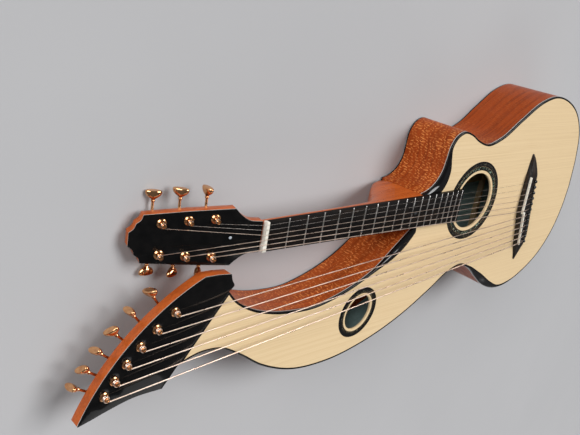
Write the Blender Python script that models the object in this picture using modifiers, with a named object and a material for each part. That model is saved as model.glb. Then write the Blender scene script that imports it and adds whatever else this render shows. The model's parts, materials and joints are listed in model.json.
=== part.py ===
"""Harp guitar with a hollow arm: six strings over the neck and six sub-bass strings over the arm.

The instrument is drawn in the soundboard's frame, in metres: X runs to the tail, Y to the treble side and
Z out of the soundboard, with the origin on the soundboard under the saddle. That frame hangs on an empty
that lays the tapered body's flat back on the world's Z = 0.
"""
import math

import bmesh
import bpy
import numpy as np
from mathutils import Matrix, Vector

# Fits
GAP = 0.0003                 # between two pieces that touch
FIT = 0.0003                 # round a bushing in its hole
JOIN = 0.0004                # how far the pieces of one solid run into each other
CUT_PAST = 0.0010            # how far a cutter runs past the face it cuts
WELD = 0.00001               # points closer than this are one point
TURN_STEP = math.radians(17)  # an outline keeps a point each time it has turned this far
LONG_STEP = 0.065            # or has gone this far

# Body
BODY_DEPTH = 0.1095          # soundboard to back under the saddle
TAPER_ANGLE = math.radians(2.97669)  # between the soundboard and the back
TOP_THICK = 0.0035
BACK_THICK = 0.0025
RIB_THICK = 0.0024
LINING_WIDTH = 0.0065        # past the binding, or past the rib at the back
LINING_HEIGHT = 0.0130
BINDING_WIDTH = 0.0032
BINDING_ROUND = 0.0006
BACK_BINDING_WIDTH = 0.0022
BACK_BINDING_LIFT = 0.0001   # over the back's plane
NECK_END = -0.3180           # joint of the neck and the body
TAIL = (0.1910, 0.0000)
LOWER_TREBLE = 0.1915        # half widths of the lower bout, and the arm's reach to the bass side
LOWER_BASS = 0.2065
ARM_REACH = 0.2435
TREBLE_RUN = [
    (NECK_END, 0.0280), (-0.2965, 0.0335), (-0.2800, 0.0450), (-0.2705, 0.0620), (-0.2680, 0.0850),
    (-0.2665, 0.1060), (-0.2560, 0.1235), (-0.2370, 0.1320), (-0.2160, 0.1275), (-0.1900, 0.1150),
    (-0.1570, 0.1065), (-0.1200, 0.1160), (-0.0670, LOWER_TREBLE - 0.0430), (-0.0100, LOWER_TREBLE - 0.0105),
    (0.0360, LOWER_TREBLE), (0.0850, LOWER_TREBLE - 0.0085), (0.1310, LOWER_TREBLE - 0.0325),
    (0.1650, LOWER_TREBLE - 0.0720), (0.1830, 0.0650), TAIL]
BASS_RUN = [
    TAIL, (0.1865, -0.0510), (0.1680, 0.0995 - LOWER_BASS), (0.1390, 0.0595 - LOWER_BASS),
    (0.0950, 0.0275 - LOWER_BASS), (0.0480, 0.0080 - LOWER_BASS), (0.0000, -LOWER_BASS),
    (-0.0350, 0.0110 - LOWER_BASS), (-0.0800, 0.0400 - LOWER_BASS), (-0.1200, -0.1395), (-0.1520, -0.1270),
    (-0.1880, -0.1350), (-0.2290, -0.1600), (-0.3000, 0.0450 - ARM_REACH), (-0.3900, 0.0135 - ARM_REACH),
    (-0.4800, -ARM_REACH), (-0.5550, 0.0065 - ARM_REACH), (-0.6200, 0.0325 - ARM_REACH), (-0.6650, -0.1810),
    (-0.7010, -0.1620), (-0.7320, -0.1590), (-0.7680, -0.1680)]
ARM_RUN = [
    (-0.6990, -0.0735), (-0.6830, -0.0910), (-0.6550, -0.1090), (-0.6150, -0.1235), (-0.5700, -0.1315),
    (-0.5270, -0.1335), (-0.4810, -0.1255), (-0.4370, -0.1115), (-0.3990, -0.0935), (-0.3700, -0.0740),
    (-0.3430, -0.0525), (NECK_END, -0.0300)]
# Bevels of the black edge: middle, half length along the edge, added width, drop at the side
BEVELS = [((-0.2830, 0.0425), 0.075, 0.0175, 0.0040),
          ((-0.3480, -0.0565), 0.085, 0.0105, 0.0040),
          ((-0.0480, 0.0185 - LOWER_BASS), 0.120, 0.0105, 0.0080)]
BEVEL_SHARE = 1.6            # share of a bevel's drop that its flat top gives up

# Soundholes and rosettes
HOLE_AT = (-0.1645, 0.0019)
HOLE_RADIUS = 0.0520
ROSETTE_INNER = 0.0573
ROSETTE_OUTER = 0.0737
ROSETTE_THICK = 0.0012
ARM_HOLE_AT = (-0.4213, -0.1667)
ARM_HOLE_RADII = (0.0310, 0.0272)
ARM_HOLE_TURN = math.radians(59.5)
ARM_ROSETTE_INNER = 0.0040   # past the edge of the arm hole
ARM_ROSETTE_OUTER = 0.0145
HOLE_SIDES = 28
ARM_HOLE_SIDES = 22

# Inside the body
BRACE_WIDTH = 0.0080
BRACE_HEIGHT = 0.0100
SPINE_WIDTH = 0.0160
SPINE_HEIGHT = 0.0050
ARM_SPINE_WIDTH = 0.0128
ARM_SPINE_HEIGHT = 0.0060
LINK_HEIGHT = 0.0070
LAP_STEP = 0.0004            # height between braces that cross
TOP_BRACES = [((-0.1900, 0.0960), (0.1150, 0.0825 - LOWER_BASS)),
              ((-0.2050, -0.1180), (0.1150, LOWER_TREBLE - 0.0615)),
              ((-0.2330, -0.1300), (-0.2330, 0.0980)), ((-0.2330, -0.1240), (-0.3500, -0.1640))]
BRACE_LINK = ((-0.2330, -0.1000), (-0.1950, -0.1090))
BACK_BRACES = [((0.1100, 0.0665 - LOWER_BASS), (0.1100, LOWER_TREBLE - 0.0465)),
               ((0.0200, 0.0265 - LOWER_BASS), (0.0200, LOWER_TREBLE - 0.0265)),
               ((-0.1200, -0.1180), (-0.1200, 0.0920)), ((-0.2300, -0.1350), (-0.2300, 0.1050)),
               ((-0.3400, 0.0485 - ARM_REACH), (-0.3400, -0.0780)),
               ((-0.4600, 0.0235 - ARM_REACH), (-0.4600, -0.1400)),
               ((-0.5800, 0.0365 - ARM_REACH), (-0.5800, -0.1520))]
BACK_SPINE = ((0.1400, 0.0000), (-0.2550, 0.0000))
ARM_SPINE = ((-0.2250, -0.0850), (-0.6000, -0.1840))
BRIDGE_PLATE = [(-0.0200, 0.0700), (0.0300, 0.0700), (0.0500, -0.1250), (-0.0100, -0.1250)]
BRIDGE_PLATE_HEIGHT = 0.0030
NECK_BLOCK_LENGTH = 0.0480
TAIL_BLOCK_LENGTH = 0.0260
TAIL_BLOCK_HALF = 0.0420
TENON_LENGTH = 0.0320

# Neck, fretboard and nut
SCALE_LENGTH = 0.6480
FRETS = 19
FRET_HEIGHT = 0.0010
FRET_WIDTH = 0.0022
BOARD_OVERHANG = 0.0047      # past the last fret
BOARD_HALF_AT_NUT = 0.0221
BOARD_FLARE = math.radians(0.93958)  # of each side, toward the body
BOARD_TOP_AT_SADDLE = 0.0095
BOARD_PITCH = math.radians(0.69326)  # fall of the fretboard's top toward the nut
BOARD_THICK_AT_NUT = 0.0060
NUT_LENGTH = 0.0050
NUT_STEP = 0.0015            # extra length under the two lowest neck strings
NUT_STEP_AT = -0.0110        # place across where that starts
NUT_HEIGHT = 0.0016          # over the fretboard
SHAFT_DEPTH_AT_NUT = 0.0150
SHAFT_DEPTH_AT_HEEL = 0.0210
SHAFT_SHOULDER = 0.0015      # straight side of the shaft under the fretboard
HEEL_LENGTH = 0.1230
HEEL_LIFT = 0.0010           # heel's end over the back's plane
# Heel: share of its length from the body, share of its depth, fullness of its section
HEEL = [(1.00, 0.00, 2.2), (0.89, 0.03, 2.6), (0.78, 0.12, 3.4), (0.58, 0.41, 5.0), (0.36, 0.75, 7.0),
        (0.13, 0.99, 9.0), (0.00, 1.00, 9.0)]

# Headstock, in its own plane: distance from the nut and half width
HEAD_TILT = math.radians(16)
HEAD_SETBACK = 0.0040        # start of the face behind the front of the nut
HEAD_LEVEL = 0.0005
HEAD_THICK = 0.0160
VENEER_THICK = 0.0018
HEAD_SIDE = [(0.0052, 0.0222), (0.0240, 0.0240), (0.0400, 0.0345), (0.0460, 0.0405), (0.1100, 0.0370),
             (0.1680, 0.0325), (0.1730, 0.0240), (0.1790, 0.0150), (0.1850, 0.0090)]
HEAD_POSTS = [(0.0730, 0.0266), (0.1090, 0.0246), (0.1443, 0.0214)]

# Harp head at the end of the arm: a round edge, with points off its ends and off the arm's inner corner
HARP_THICK = 0.0180
HARP_RADIUS = 0.3240
HARP_CROWN = (-0.8400, -0.1150)  # middle of the round edge
HARP_FACING = math.radians(135.85)  # way the round edge faces there
HARP_HALF = 0.1230           # from the crown along the edge to each end
HARP_TOP = [(0.0413, -0.0031), (0.0198, -0.0006)]
HARP_BOTTOM = [(0.0160, 0.0042), (0.0400, 0.0112), (0.0740, 0.0187), (0.1170, 0.0192)]
HARP_NOTCH = [(0.0075, 0.0080), (0.0030, 0.0165)]
HARP_POST_INSET = 0.0145
HARP_POSTS = [-0.0613 + i * (0.0324 - 0.00108 * i) for i in range(6)]  # along the edge from the crown
HARP_HEEL_LENGTH = 0.0420
HARP_HEEL_SPAN = (0.014, 0.104)
HARP_HEEL_TAPER = 0.0060
HARP_HEEL_LIFT = 0.0020
HARP_HEEL_SINK = 0.0040      # into the head
HARP_HEEL_EDGE = 0.0002      # thickness left at its end
TENON_REACH = 0.0060         # of the tenon into the head

# Bridge, saddle and pins
BRIDGE_HEIGHT = 0.0085
# Bridge sections: place across, front edge below and on top, rear edge, drop of the top
BRIDGE = [(0.0810, 0.0012, 0.0020, 0.0036, 0.0062), (0.0720, -0.0002, 0.0040, 0.0110, 0.0047),
          (0.0610, -0.0016, 0.0036, 0.0174, 0.0031), (0.0490, -0.0021, 0.0024, 0.0230, 0.0015),
          (0.0390, -0.0024, -0.0017, 0.0262, 0.0000), (0.0050, -0.0025, -0.0018, 0.0314, 0.0000),
          (-0.0280, -0.0011, -0.0004, 0.0386, 0.0000), (-0.0400, 0.0004, 0.0012, 0.0412, 0.0000),
          (-0.0720, 0.0108, 0.0115, 0.0484, 0.0000), (-0.0920, 0.0172, 0.0179, 0.0512, 0.0000),
          (-0.1095, 0.0213, 0.0220, 0.0472, 0.0000), (-0.1210, 0.0270, 0.0305, 0.0450, 0.0023),
          (-0.1330, 0.0320, 0.0350, 0.0415, 0.0041), (-0.1450, 0.0366, 0.0371, 0.0386, 0.0061)]
SADDLE_RISE = 0.0039         # over the bridge
SLOT_DEPTH = 0.0040
SADDLE_EDGE = [
    (0.0002, 0.0365), (0.0028, -0.0390), (0.0088, -0.0390), (0.0228, -0.1075), (0.0258, -0.1069),
    (0.0123, -0.0360), (0.0060, -0.0360), (0.0032, 0.0365)]
PIN_RADIUS = 0.0024
PIN_HEIGHT = 0.0026
PIN_SINK = 0.0010
NECK_PINS = (0.0220, 0.0018)  # place of the first pin behind the saddle line, and the step to the next
BASS_PINS = (0.0310, 0.0022)

# Strings, from the highest of the neck to the lowest of the arm
STRING_FIRST = 0.0265
STRING_SPACING = 0.01168
NUT_FIRST = 0.0178
NUT_SPACING = 0.0071
NECK_SADDLE = (0.0017, 0.0004)
BASS_SADDLE = (0.0112, 0.0025)
REST_FRONT = 0.0014          # of a string's rest on the saddle, and its rear
REST_REAR = 0.0020
STRING_RADII = [0.00018, 0.00023, 0.00032, 0.00042, 0.00055, 0.00068,
                0.00074, 0.00078, 0.00082, 0.00086, 0.00090, 0.00095]
STRING_TURNS = 1.5
COIL_POINTS = 10
COIL_SPACE = 0.0006

# Tuning machines: a worm on the knob's shaft turns a wheel on the post
WHEEL_TEETH = 12
WHEEL_RADIUS = 0.0056
WORM_RADIUS = 0.0024
ADDENDUM = 0.0007
DEDENDUM = 0.0009
WHEEL_TIP = 0.0006           # widths of a wheel tooth and of the worm's thread
WHEEL_FOOT = 0.0014
THREAD_TIP = 0.0006
THREAD_FOOT = 0.0014
THREAD_TURNS = 2.5
KNOB_SIDES = 6
WHEEL_THICK = 0.0030
PLATE_THICK = 0.0012
POST_RADIUS = 0.0030
POST_PLAY = 0.00035          # between a post and its bushing
WAIST_DEPTH = 0.0005         # groove of a post that takes the string
WAIST_LENGTH = 0.0065
WAIST_RISE = 0.0005          # over the washer
WAIST_EASE = 0.0004
POST_CAP = 0.0012            # over the groove
STRING_DROP = 0.0014         # of the string's first turn under the groove's top
SLEEVE_WALL = 0.00125
WASHER_RIM = 0.0019
WASHER_THICK = 0.0015
SHAFT_PLAY = 0.0005          # between a knob's shaft and its lugs
LUG_THICK = 0.0016
LUG_WALL = 0.0011
PLATE_EDGE = 0.0016          # of a tuner plate past its lugs
COLLAR_RIM = 0.0006          # of a knob's collar past its lug's bore
COLLAR_LENGTH = 0.0014
COLLAR_WAIST = 0.0018
KNOB_REACH = 0.0305          # post to the middle of the button
BUTTON_RADII = (0.0066, 0.0108, 0.0043)
BUTTON_ROOT = 0.0053         # from the middle of the button to its collar
BUTTON_SINK = 0.0020         # of the shaft into the button
NECK_TURNS = (0.30, 1.10, 1.45, 1.30, 0.90, 0.35)      # turn of each knob at rest
HARP_TURNS = (0.55, 0.15, 0.95, 0.40, 0.75, 0.20)

# Sizes that follow from the ones above
DEPTH_TAPER = math.tan(TAPER_ANGLE)
HARP_CENTRE = (HARP_CROWN[0] - HARP_RADIUS * math.cos(HARP_FACING),
               HARP_CROWN[1] - HARP_RADIUS * math.sin(HARP_FACING))
SADDLE_TOP = BRIDGE_HEIGHT + SADDLE_RISE
SADDLE_BOTTOM = BRIDGE_HEIGHT - SLOT_DEPTH
CENTRE_DISTANCE = WHEEL_RADIUS + WORM_RADIUS
THREAD_PITCH = 2 * math.pi * WHEEL_RADIUS / WHEEL_TEETH
SHAFT_RADIUS = WORM_RADIUS - DEDENDUM
WHEEL_TWIST = THREAD_PITCH / (2 * math.pi * WORM_RADIUS * WHEEL_RADIUS)
THREAD_HALF = THREAD_PITCH * THREAD_TURNS / 2 + THREAD_FOOT / 2
LUG_AT = THREAD_HALF + 2 * GAP + LUG_THICK / 2
LUG_BORE = SHAFT_RADIUS + SHAFT_PLAY
LUG_HALF = LUG_BORE + LUG_WALL
COLLAR_RADIUS = LUG_BORE + COLLAR_RIM
PLATE_HALF = LUG_AT + LUG_THICK / 2 + PLATE_EDGE
PLATE_END = CENTRE_DISTANCE + LUG_HALF + PLATE_EDGE
BORE_RADIUS = POST_RADIUS + POST_PLAY
SLEEVE_RADIUS = BORE_RADIUS + SLEEVE_WALL
WASHER_RADIUS = SLEEVE_RADIUS + WASHER_RIM
POST_WAIST = POST_RADIUS - WAIST_DEPTH
WAIST_LOW = max(HEAD_THICK, HARP_THICK) + GAP + WASHER_THICK + WAIST_RISE  # over the back of the head
WAIST_HIGH = WAIST_LOW + WAIST_LENGTH
STRING_LEVEL = WAIST_HIGH - STRING_DROP
POST_TOP = WAIST_HIGH + POST_CAP
WHEEL_LEVEL = -(GAP + PLATE_THICK + GAP + WORM_RADIUS + ADDENDUM + GAP)

COLOURS = {
    "spruce": ((0.80, 0.62, 0.36), 0.0, 0.35), "mahogany": ((0.36, 0.11, 0.035), 0.0, 0.25),
    "ebony": ((0.018, 0.015, 0.014), 0.0, 0.35), "black_binding": ((0.012, 0.012, 0.014), 0.0, 0.15),
    "bone": ((0.85, 0.82, 0.72), 0.0, 0.3), "gold_plate": ((0.78, 0.52, 0.26), 1.0, 0.22),
    "bronze_string": ((0.62, 0.46, 0.34), 1.0, 0.3), "shell_inlay": ((0.10, 0.13, 0.11), 0.0, 0.2)}


def material(slot: str) -> bpy.types.Material:
    """Return the material of a slot, made at its first use."""
    found = bpy.data.materials.get(slot)
    if found:
        return found
    made = bpy.data.materials.new(slot)
    made.use_nodes = True
    shader = made.node_tree.nodes["Principled BSDF"]
    colour, metallic, roughness = COLOURS[slot]
    shader.inputs["Base Color"].default_value = (*colour, 1.0)
    shader.inputs["Metallic"].default_value = metallic
    shader.inputs["Roughness"].default_value = roughness
    return made


def clean(bm: bmesh.types.BMesh, name: str, flatten: bool = False) -> bpy.types.Mesh:
    """Return a bmesh as a welded mesh with its faces outward; on request its flat faces are made whole."""
    bmesh.ops.remove_doubles(bm, verts=bm.verts, dist=WELD)
    if flatten:
        bmesh.ops.dissolve_limit(bm, angle_limit=math.radians(0.2), verts=bm.verts, edges=bm.edges)
    bmesh.ops.recalc_face_normals(bm, faces=bm.faces)
    mesh = bpy.data.meshes.new(name)
    bm.to_mesh(mesh)
    bm.free()
    return mesh


def baked(holder: bpy.types.Object) -> bpy.types.Mesh:
    """Return the evaluated mesh of a loose object and remove the object."""
    if not holder.users_collection:
        bpy.context.scene.collection.objects.link(holder)
    bpy.context.view_layer.update()
    depsgraph = bpy.context.evaluated_depsgraph_get()
    mesh = bpy.data.meshes.new_from_object(holder.evaluated_get(depsgraph))
    bm = bmesh.new()
    bm.from_mesh(mesh)
    name = holder.name
    bpy.data.objects.remove(holder)
    return clean(bm, name, flatten=True)


def loft(name: str, rings: list, closed: bool = False) -> bpy.types.Mesh:
    """Return a skin over rings of points, capped at both ends unless it closes on itself."""
    bm = bmesh.new()
    rows = [[bm.verts.new(point) for point in ring] for ring in rings]
    for here, there in zip(rows, rows[1:] + rows[:1] if closed else rows[1:]):
        for i in range(len(here)):
            j = (i + 1) % len(here)
            bm.faces.new((here[i], here[j], there[j], there[i]))
    if not closed:
        bm.faces.new(rows[0])
        bm.faces.new(rows[-1])
    return clean(bm, name)


def plate(name: str, loops: list, low: float, high: float) -> bpy.types.Mesh:
    """Return a flat plate between two levels; the first outline is its edge and the rest are holes."""
    curve = bpy.data.curves.new(name, "CURVE")
    curve.dimensions = "2D"
    curve.fill_mode = "BOTH"
    curve.extrude = (high - low) / 2
    for loop in loops:
        spline = curve.splines.new("POLY")
        spline.points.add(len(loop) - 1)
        for point, (x, y) in zip(spline.points, loop):
            point.co = (x, y, 0.0, 1.0)
        spline.use_cyclic_u = True
    mesh = baked(bpy.data.objects.new(name, curve))
    mesh.transform(Matrix.Translation((0.0, 0.0, (low + high) / 2)))
    return mesh


def swept(name: str, profile: list, sides: int, closed: bool, turns: float = 1.0, lead: float = 0.0):
    """Return a profile of (radius, height) points turned about Z; a lead makes it a thread."""
    bm = bmesh.new()
    points = [bm.verts.new((radius, 0.0, height)) for radius, height in profile]
    for a, b in zip(points, points[1:] + points[:1] if closed else points[1:]):
        bm.edges.new((a, b))
    mesh = bpy.data.meshes.new(name)
    bm.to_mesh(mesh)
    bm.free()
    holder = bpy.data.objects.new(name, mesh)
    screw = holder.modifiers.new("turn", "SCREW")
    screw.axis = "Z"
    screw.angle = 2 * math.pi * turns
    screw.screw_offset = lead * turns
    screw.steps = screw.render_steps = round(sides * turns)
    screw.use_merge_vertices = lead == 0.0
    screw.merge_threshold = WELD
    turned = baked(holder)
    if lead:
        bm = bmesh.new()
        bm.from_mesh(turned)
        bmesh.ops.holes_fill(bm, edges=[edge for edge in bm.edges if edge.is_boundary], sides=0)
        turned = clean(bm, name)
    return turned


def moved(mesh: bpy.types.Mesh, matrix: Matrix) -> bpy.types.Mesh:
    """Move a mesh by a matrix and return it."""
    mesh.transform(matrix)
    return mesh


def fused(name: str, meshes: list) -> bpy.types.Mesh:
    """Return the union of meshes that overlap."""
    tools = [bpy.data.objects.new(f"{name}_piece", mesh) for mesh in meshes]
    for tool in tools:
        bpy.context.scene.collection.objects.link(tool)
    for tool in tools[1:]:
        join = tools[0].modifiers.new("join", "BOOLEAN")
        join.operation = "UNION"
        join.solver = "EXACT"
        join.object = tool
    mesh = baked(tools[0])
    for tool in tools[1:]:
        bpy.data.objects.remove(tool)
    mesh.name = name
    return mesh


class Build:
    """The collections, the soundboard's frame and the parts placed in it."""

    def __init__(self) -> None:
        for item in list(bpy.data.objects):
            bpy.data.objects.remove(item, do_unlink=True)
        self.parts = bpy.data.collections.new("harp_guitar")
        self.cutters = bpy.data.collections.new("cutters")
        for group in (self.parts, self.cutters):
            bpy.context.scene.collection.children.link(group)
        tilt = Matrix.Rotation(-TAPER_ANGLE, 4, "Y")
        self.frame = bpy.data.objects.new("soundboard_frame", None)
        self.frame.matrix_world = tilt @ Matrix.Translation((0.0, 0.0, BODY_DEPTH))
        self.parts.objects.link(self.frame)

    def add(self, name: str, mesh, slot: str, at: Matrix = None, on_back: bool = False) -> bpy.types.Object:
        """Place a mesh as a part of the object, in the soundboard's frame or on the back."""
        part = bpy.data.objects.new(name, mesh)
        if not mesh.materials:
            mesh.materials.append(material(slot))
        self.parts.objects.link(part)
        if not on_back:
            part.parent = self.frame
        part.matrix_basis = at or Matrix()
        return part

    def shape(self, part: bpy.types.Object, mesh, operation: str, on_back: bool = False) -> None:
        """Cut a tool out of a part, or join the tool to it."""
        tool = bpy.data.objects.new(f"{part.name}_{operation.lower()}", mesh)
        self.cutters.objects.link(tool)
        if not on_back:
            tool.parent = self.frame
        tool.matrix_basis = part.matrix_basis
        tool.hide_render = True
        tool.display_type = "WIRE"
        step = part.modifiers.new(operation.lower(), "BOOLEAN")
        step.operation = operation
        step.solver = "EXACT"
        step.object = tool


def smooth(points: list) -> np.ndarray:
    """Return a smooth run through points, with a point where it has turned or gone far enough."""
    p = np.array(points)
    span = np.linalg.norm(np.diff(p, axis=0), axis=1)
    slope = np.diff(p, axis=0) / span[:, None]
    tangent = np.vstack([slope[:1], (slope[:-1] * span[1:, None] + slope[1:] * span[:-1, None])
                         / (span[1:] + span[:-1])[:, None], slope[-1:]])
    dense = []
    for i, length in enumerate(span):
        t = np.linspace(0, 1, 12, endpoint=False)[:, None]
        dense.append(p[i] * (2 * t**3 - 3 * t**2 + 1) + p[i + 1] * (3 * t**2 - 2 * t**3)
                     + length * (tangent[i] * (t**3 - 2 * t**2 + t) + tangent[i + 1] * (t**3 - t**2)))
    run = np.vstack(dense + [p[-1:]])
    step = np.diff(run, axis=0)
    heading = np.unwrap(np.arctan2(step[:, 1], step[:, 0]))
    effort = (np.abs(np.diff(heading, prepend=heading[0])) / TURN_STEP
              + np.linalg.norm(step, axis=1) / LONG_STEP)
    total = np.concatenate([[0.0], np.cumsum(effort)])
    picks = np.linspace(0, total[-1], max(2, round(total[-1])) + 1)
    return np.column_stack([np.interp(picks, total, run[:, k]) for k in (0, 1)])


def inward(loop: np.ndarray, closed: bool = True) -> np.ndarray:
    """Return each point's step to the right of its run that moves both its edges by one unit."""
    ahead = np.roll(loop, -1, axis=0) - loop
    ahead /= np.linalg.norm(ahead, axis=1)[:, None]
    behind = np.roll(ahead, 1, axis=0)
    if not closed:
        ahead[-1], behind[0] = ahead[-2], ahead[0]
    right_a = np.column_stack([ahead[:, 1], -ahead[:, 0]])
    right_b = np.column_stack([behind[:, 1], -behind[:, 0]])
    middle = right_a + right_b
    return 2 * middle / np.sum(middle * middle, axis=1)[:, None]


def ellipse(centre: tuple, radii: tuple, sides: int, turn: float = 0.0) -> list:
    """Return the points of an ellipse."""
    points = []
    for k in range(sides):
        a, b = radii[0] * math.cos(2 * math.pi * k / sides), radii[1] * math.sin(2 * math.pi * k / sides)
        points.append((centre[0] + a * math.cos(turn) - b * math.sin(turn),
                       centre[1] + a * math.sin(turn) + b * math.cos(turn)))
    return points


def back_level(x: float) -> float:
    """Return the height of the back's outer face at a place along the body."""
    return -(BODY_DEPTH + DEPTH_TAPER * x)


class Outline:
    """The body's outer edge, clockwise from the neck's treble corner, with its bevels."""

    def __init__(self) -> None:
        treble, bass, arm = smooth(TREBLE_RUN), smooth(BASS_RUN), smooth(ARM_RUN)
        self.loop = np.vstack([treble, bass[1:], arm])
        self.tail = len(treble) - 1
        self.arm_end = self.tail + len(bass) - 1
        self.step = inward(self.loop)
        edge = np.linalg.norm(np.roll(self.loop, -1, axis=0) - self.loop, axis=1)
        length = np.concatenate([[0.0], np.cumsum(edge)])
        self.width = np.full(len(self.loop), BINDING_WIDTH)
        self.drop = np.full(len(self.loop), BINDING_ROUND)
        for middle, half, width, drop in BEVELS:
            start = length[np.argmin(np.linalg.norm(self.loop - np.array(middle), axis=1))]
            away = np.abs((length[:-1] - start + length[-1] / 2) % length[-1] - length[-1] / 2)
            share = np.where(away < half, np.cos(np.minimum(away / half, 1.0) * math.pi / 2) ** 2, 0.0)
            share[[0, -1]] = 0.0
            self.width += width * share
            self.drop += (drop - BINDING_ROUND) * share

    def inset(self, distance) -> np.ndarray:
        """Return the whole outline moved inward."""
        return self.loop + self.step * np.asarray(distance).reshape(-1, 1)

    def run(self, first: int, last: int) -> tuple:
        """Return points, inward steps, binding widths and drops of one rib's stretch."""
        points = self.loop[first:last + 1].copy()
        return points, inward(points, closed=False), self.width[first:last + 1], self.drop[first:last + 1]


def rib_rings(points, steps, widths, drops) -> list:
    """Return the sections of a rib: a wall with a lining at its top and another at its back."""
    head = -(TOP_THICK + GAP)
    rings = []
    for point, step, width, drop in zip(points, steps, widths, drops):
        def under_top(distance: float, down: float) -> tuple:
            return (*(point + step * distance), head - down)

        def over_back(distance: float, up: float) -> tuple:
            x, y = point + step * distance
            return (x, y, back_level(x) + BACK_THICK + 2 * GAP + up)
        inner, foot = width + LINING_WIDTH, RIB_THICK + LINING_WIDTH
        rings.append([over_back(0, 0), under_top(0, drop - BINDING_ROUND), under_top(width + GAP, 0),
                      under_top(inner, 0), under_top(inner, LINING_HEIGHT),
                      under_top(RIB_THICK, LINING_HEIGHT), over_back(RIB_THICK, LINING_HEIGHT),
                      over_back(foot, LINING_HEIGHT), over_back(foot, 0)])
    return rings


def body(build: Build) -> Outline:
    """Build the soundboard, back, ribs, bindings and rosettes."""
    edge = Outline()
    ends = edge.loop[[edge.arm_end, edge.arm_end + 1]]
    along = (ends[1] - ends[0]) / np.linalg.norm(ends[1] - ends[0])
    last = len(edge.loop) - 1
    stretches = {"treble_rib": (0, edge.tail), "bass_rib": (edge.tail, edge.arm_end),
                 "arm_rib": (edge.arm_end + 1, last)}
    for name, (first, final) in stretches.items():
        points, steps, widths, drops = edge.run(first, final)
        ahead = points[1] - points[0]
        back = points[-2] - points[-1]
        if name == "treble_rib":
            points[-1] += back / np.linalg.norm(back) * GAP
            steps[-1] = (-1.0, 0.0)
        if name == "bass_rib":
            points[0] += ahead / np.linalg.norm(ahead) * GAP
            steps[0] = (-1.0, 0.0)
            steps[-1] = along / (along @ steps[-1])
        if name == "arm_rib":
            steps[0] = -along / (-along @ steps[0])
        build.add(name, loft(name, rib_rings(points, steps, widths, drops)), "mahogany")

    hole = ellipse(HOLE_AT, (HOLE_RADIUS, HOLE_RADIUS), HOLE_SIDES)
    arm_hole = ellipse(ARM_HOLE_AT, ARM_HOLE_RADII, ARM_HOLE_SIDES, ARM_HOLE_TURN)
    board = build.add("soundboard", plate("soundboard", [edge.inset(edge.width + GAP), hole, arm_hole],
                                          -TOP_THICK, 0.0), "spruce")
    wide = [(r + ARM_ROSETTE_OUTER) for r in ARM_HOLE_RADII]
    narrow = [(r + ARM_ROSETTE_INNER) for r in ARM_HOLE_RADII]
    rings = {"main_rosette": ([ROSETTE_OUTER] * 2, [ROSETTE_INNER] * 2, HOLE_AT, HOLE_SIDES, 0.0),
             "arm_rosette": (wide, narrow, ARM_HOLE_AT, ARM_HOLE_SIDES, ARM_HOLE_TURN)}
    for name, (outer, inner, centre, sides, turn) in rings.items():
        groove = [ellipse(centre, outer, sides, turn), ellipse(centre, inner, sides, turn)]
        ring = [ellipse(centre, [r - GAP for r in outer], sides, turn),
                ellipse(centre, [r + GAP for r in inner], sides, turn)]
        build.shape(board, plate(f"{name}_groove", groove, -ROSETTE_THICK - GAP, CUT_PAST), "DIFFERENCE")
        build.add(name, plate(name, ring, -ROSETTE_THICK, 0.0), "shell_inlay")

    trim = []
    for point, step, width, drop in zip(edge.loop, edge.step, edge.width, edge.drop):
        shoulder = BINDING_ROUND + (drop - BINDING_ROUND) * (width - BINDING_WIDTH) / width * BEVEL_SHARE
        trim.append([(*(point + step * width), 0.0), (*(point + step * shoulder), 0.0),
                     (*point, -drop), (*point, -(TOP_THICK + drop - BINDING_ROUND)),
                     (*(point + step * width), -TOP_THICK)])
    build.add("top_binding", loft("top_binding", trim, closed=True), "black_binding")

    flat = edge.loop.copy()
    flat[:, 0] /= math.cos(TAPER_ANGLE)
    flat_step = inward(flat)
    rim = flat + flat_step * BACK_BINDING_WIDTH
    low = BACK_BINDING_LIFT
    back_trim = [[(*outer, low), (*outer, BACK_THICK), (*inner, BACK_THICK), (*inner, low)]
                 for outer, inner in zip(flat, rim)]
    build.add("back_binding", loft("back_binding", back_trim, closed=True), "black_binding", on_back=True)
    sheet = flat + flat_step * (BACK_BINDING_WIDTH + GAP)
    build.add("back_plate", plate("back_plate", [sheet], 0.0, BACK_THICK), "mahogany", on_back=True)
    return edge


def bar(name: str, start: tuple, end: tuple, low: float, high: float, width: float) -> bpy.types.Mesh:
    """Return a straight bar between two places."""
    a, b = Vector(start), Vector(end)
    ahead = (b - a).normalized()
    side = Vector((-ahead.y, ahead.x)) * width / 2
    return plate(name, [[tuple(a + side), tuple(b + side), tuple(b - side), tuple(a - side)]], low, high)


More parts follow.
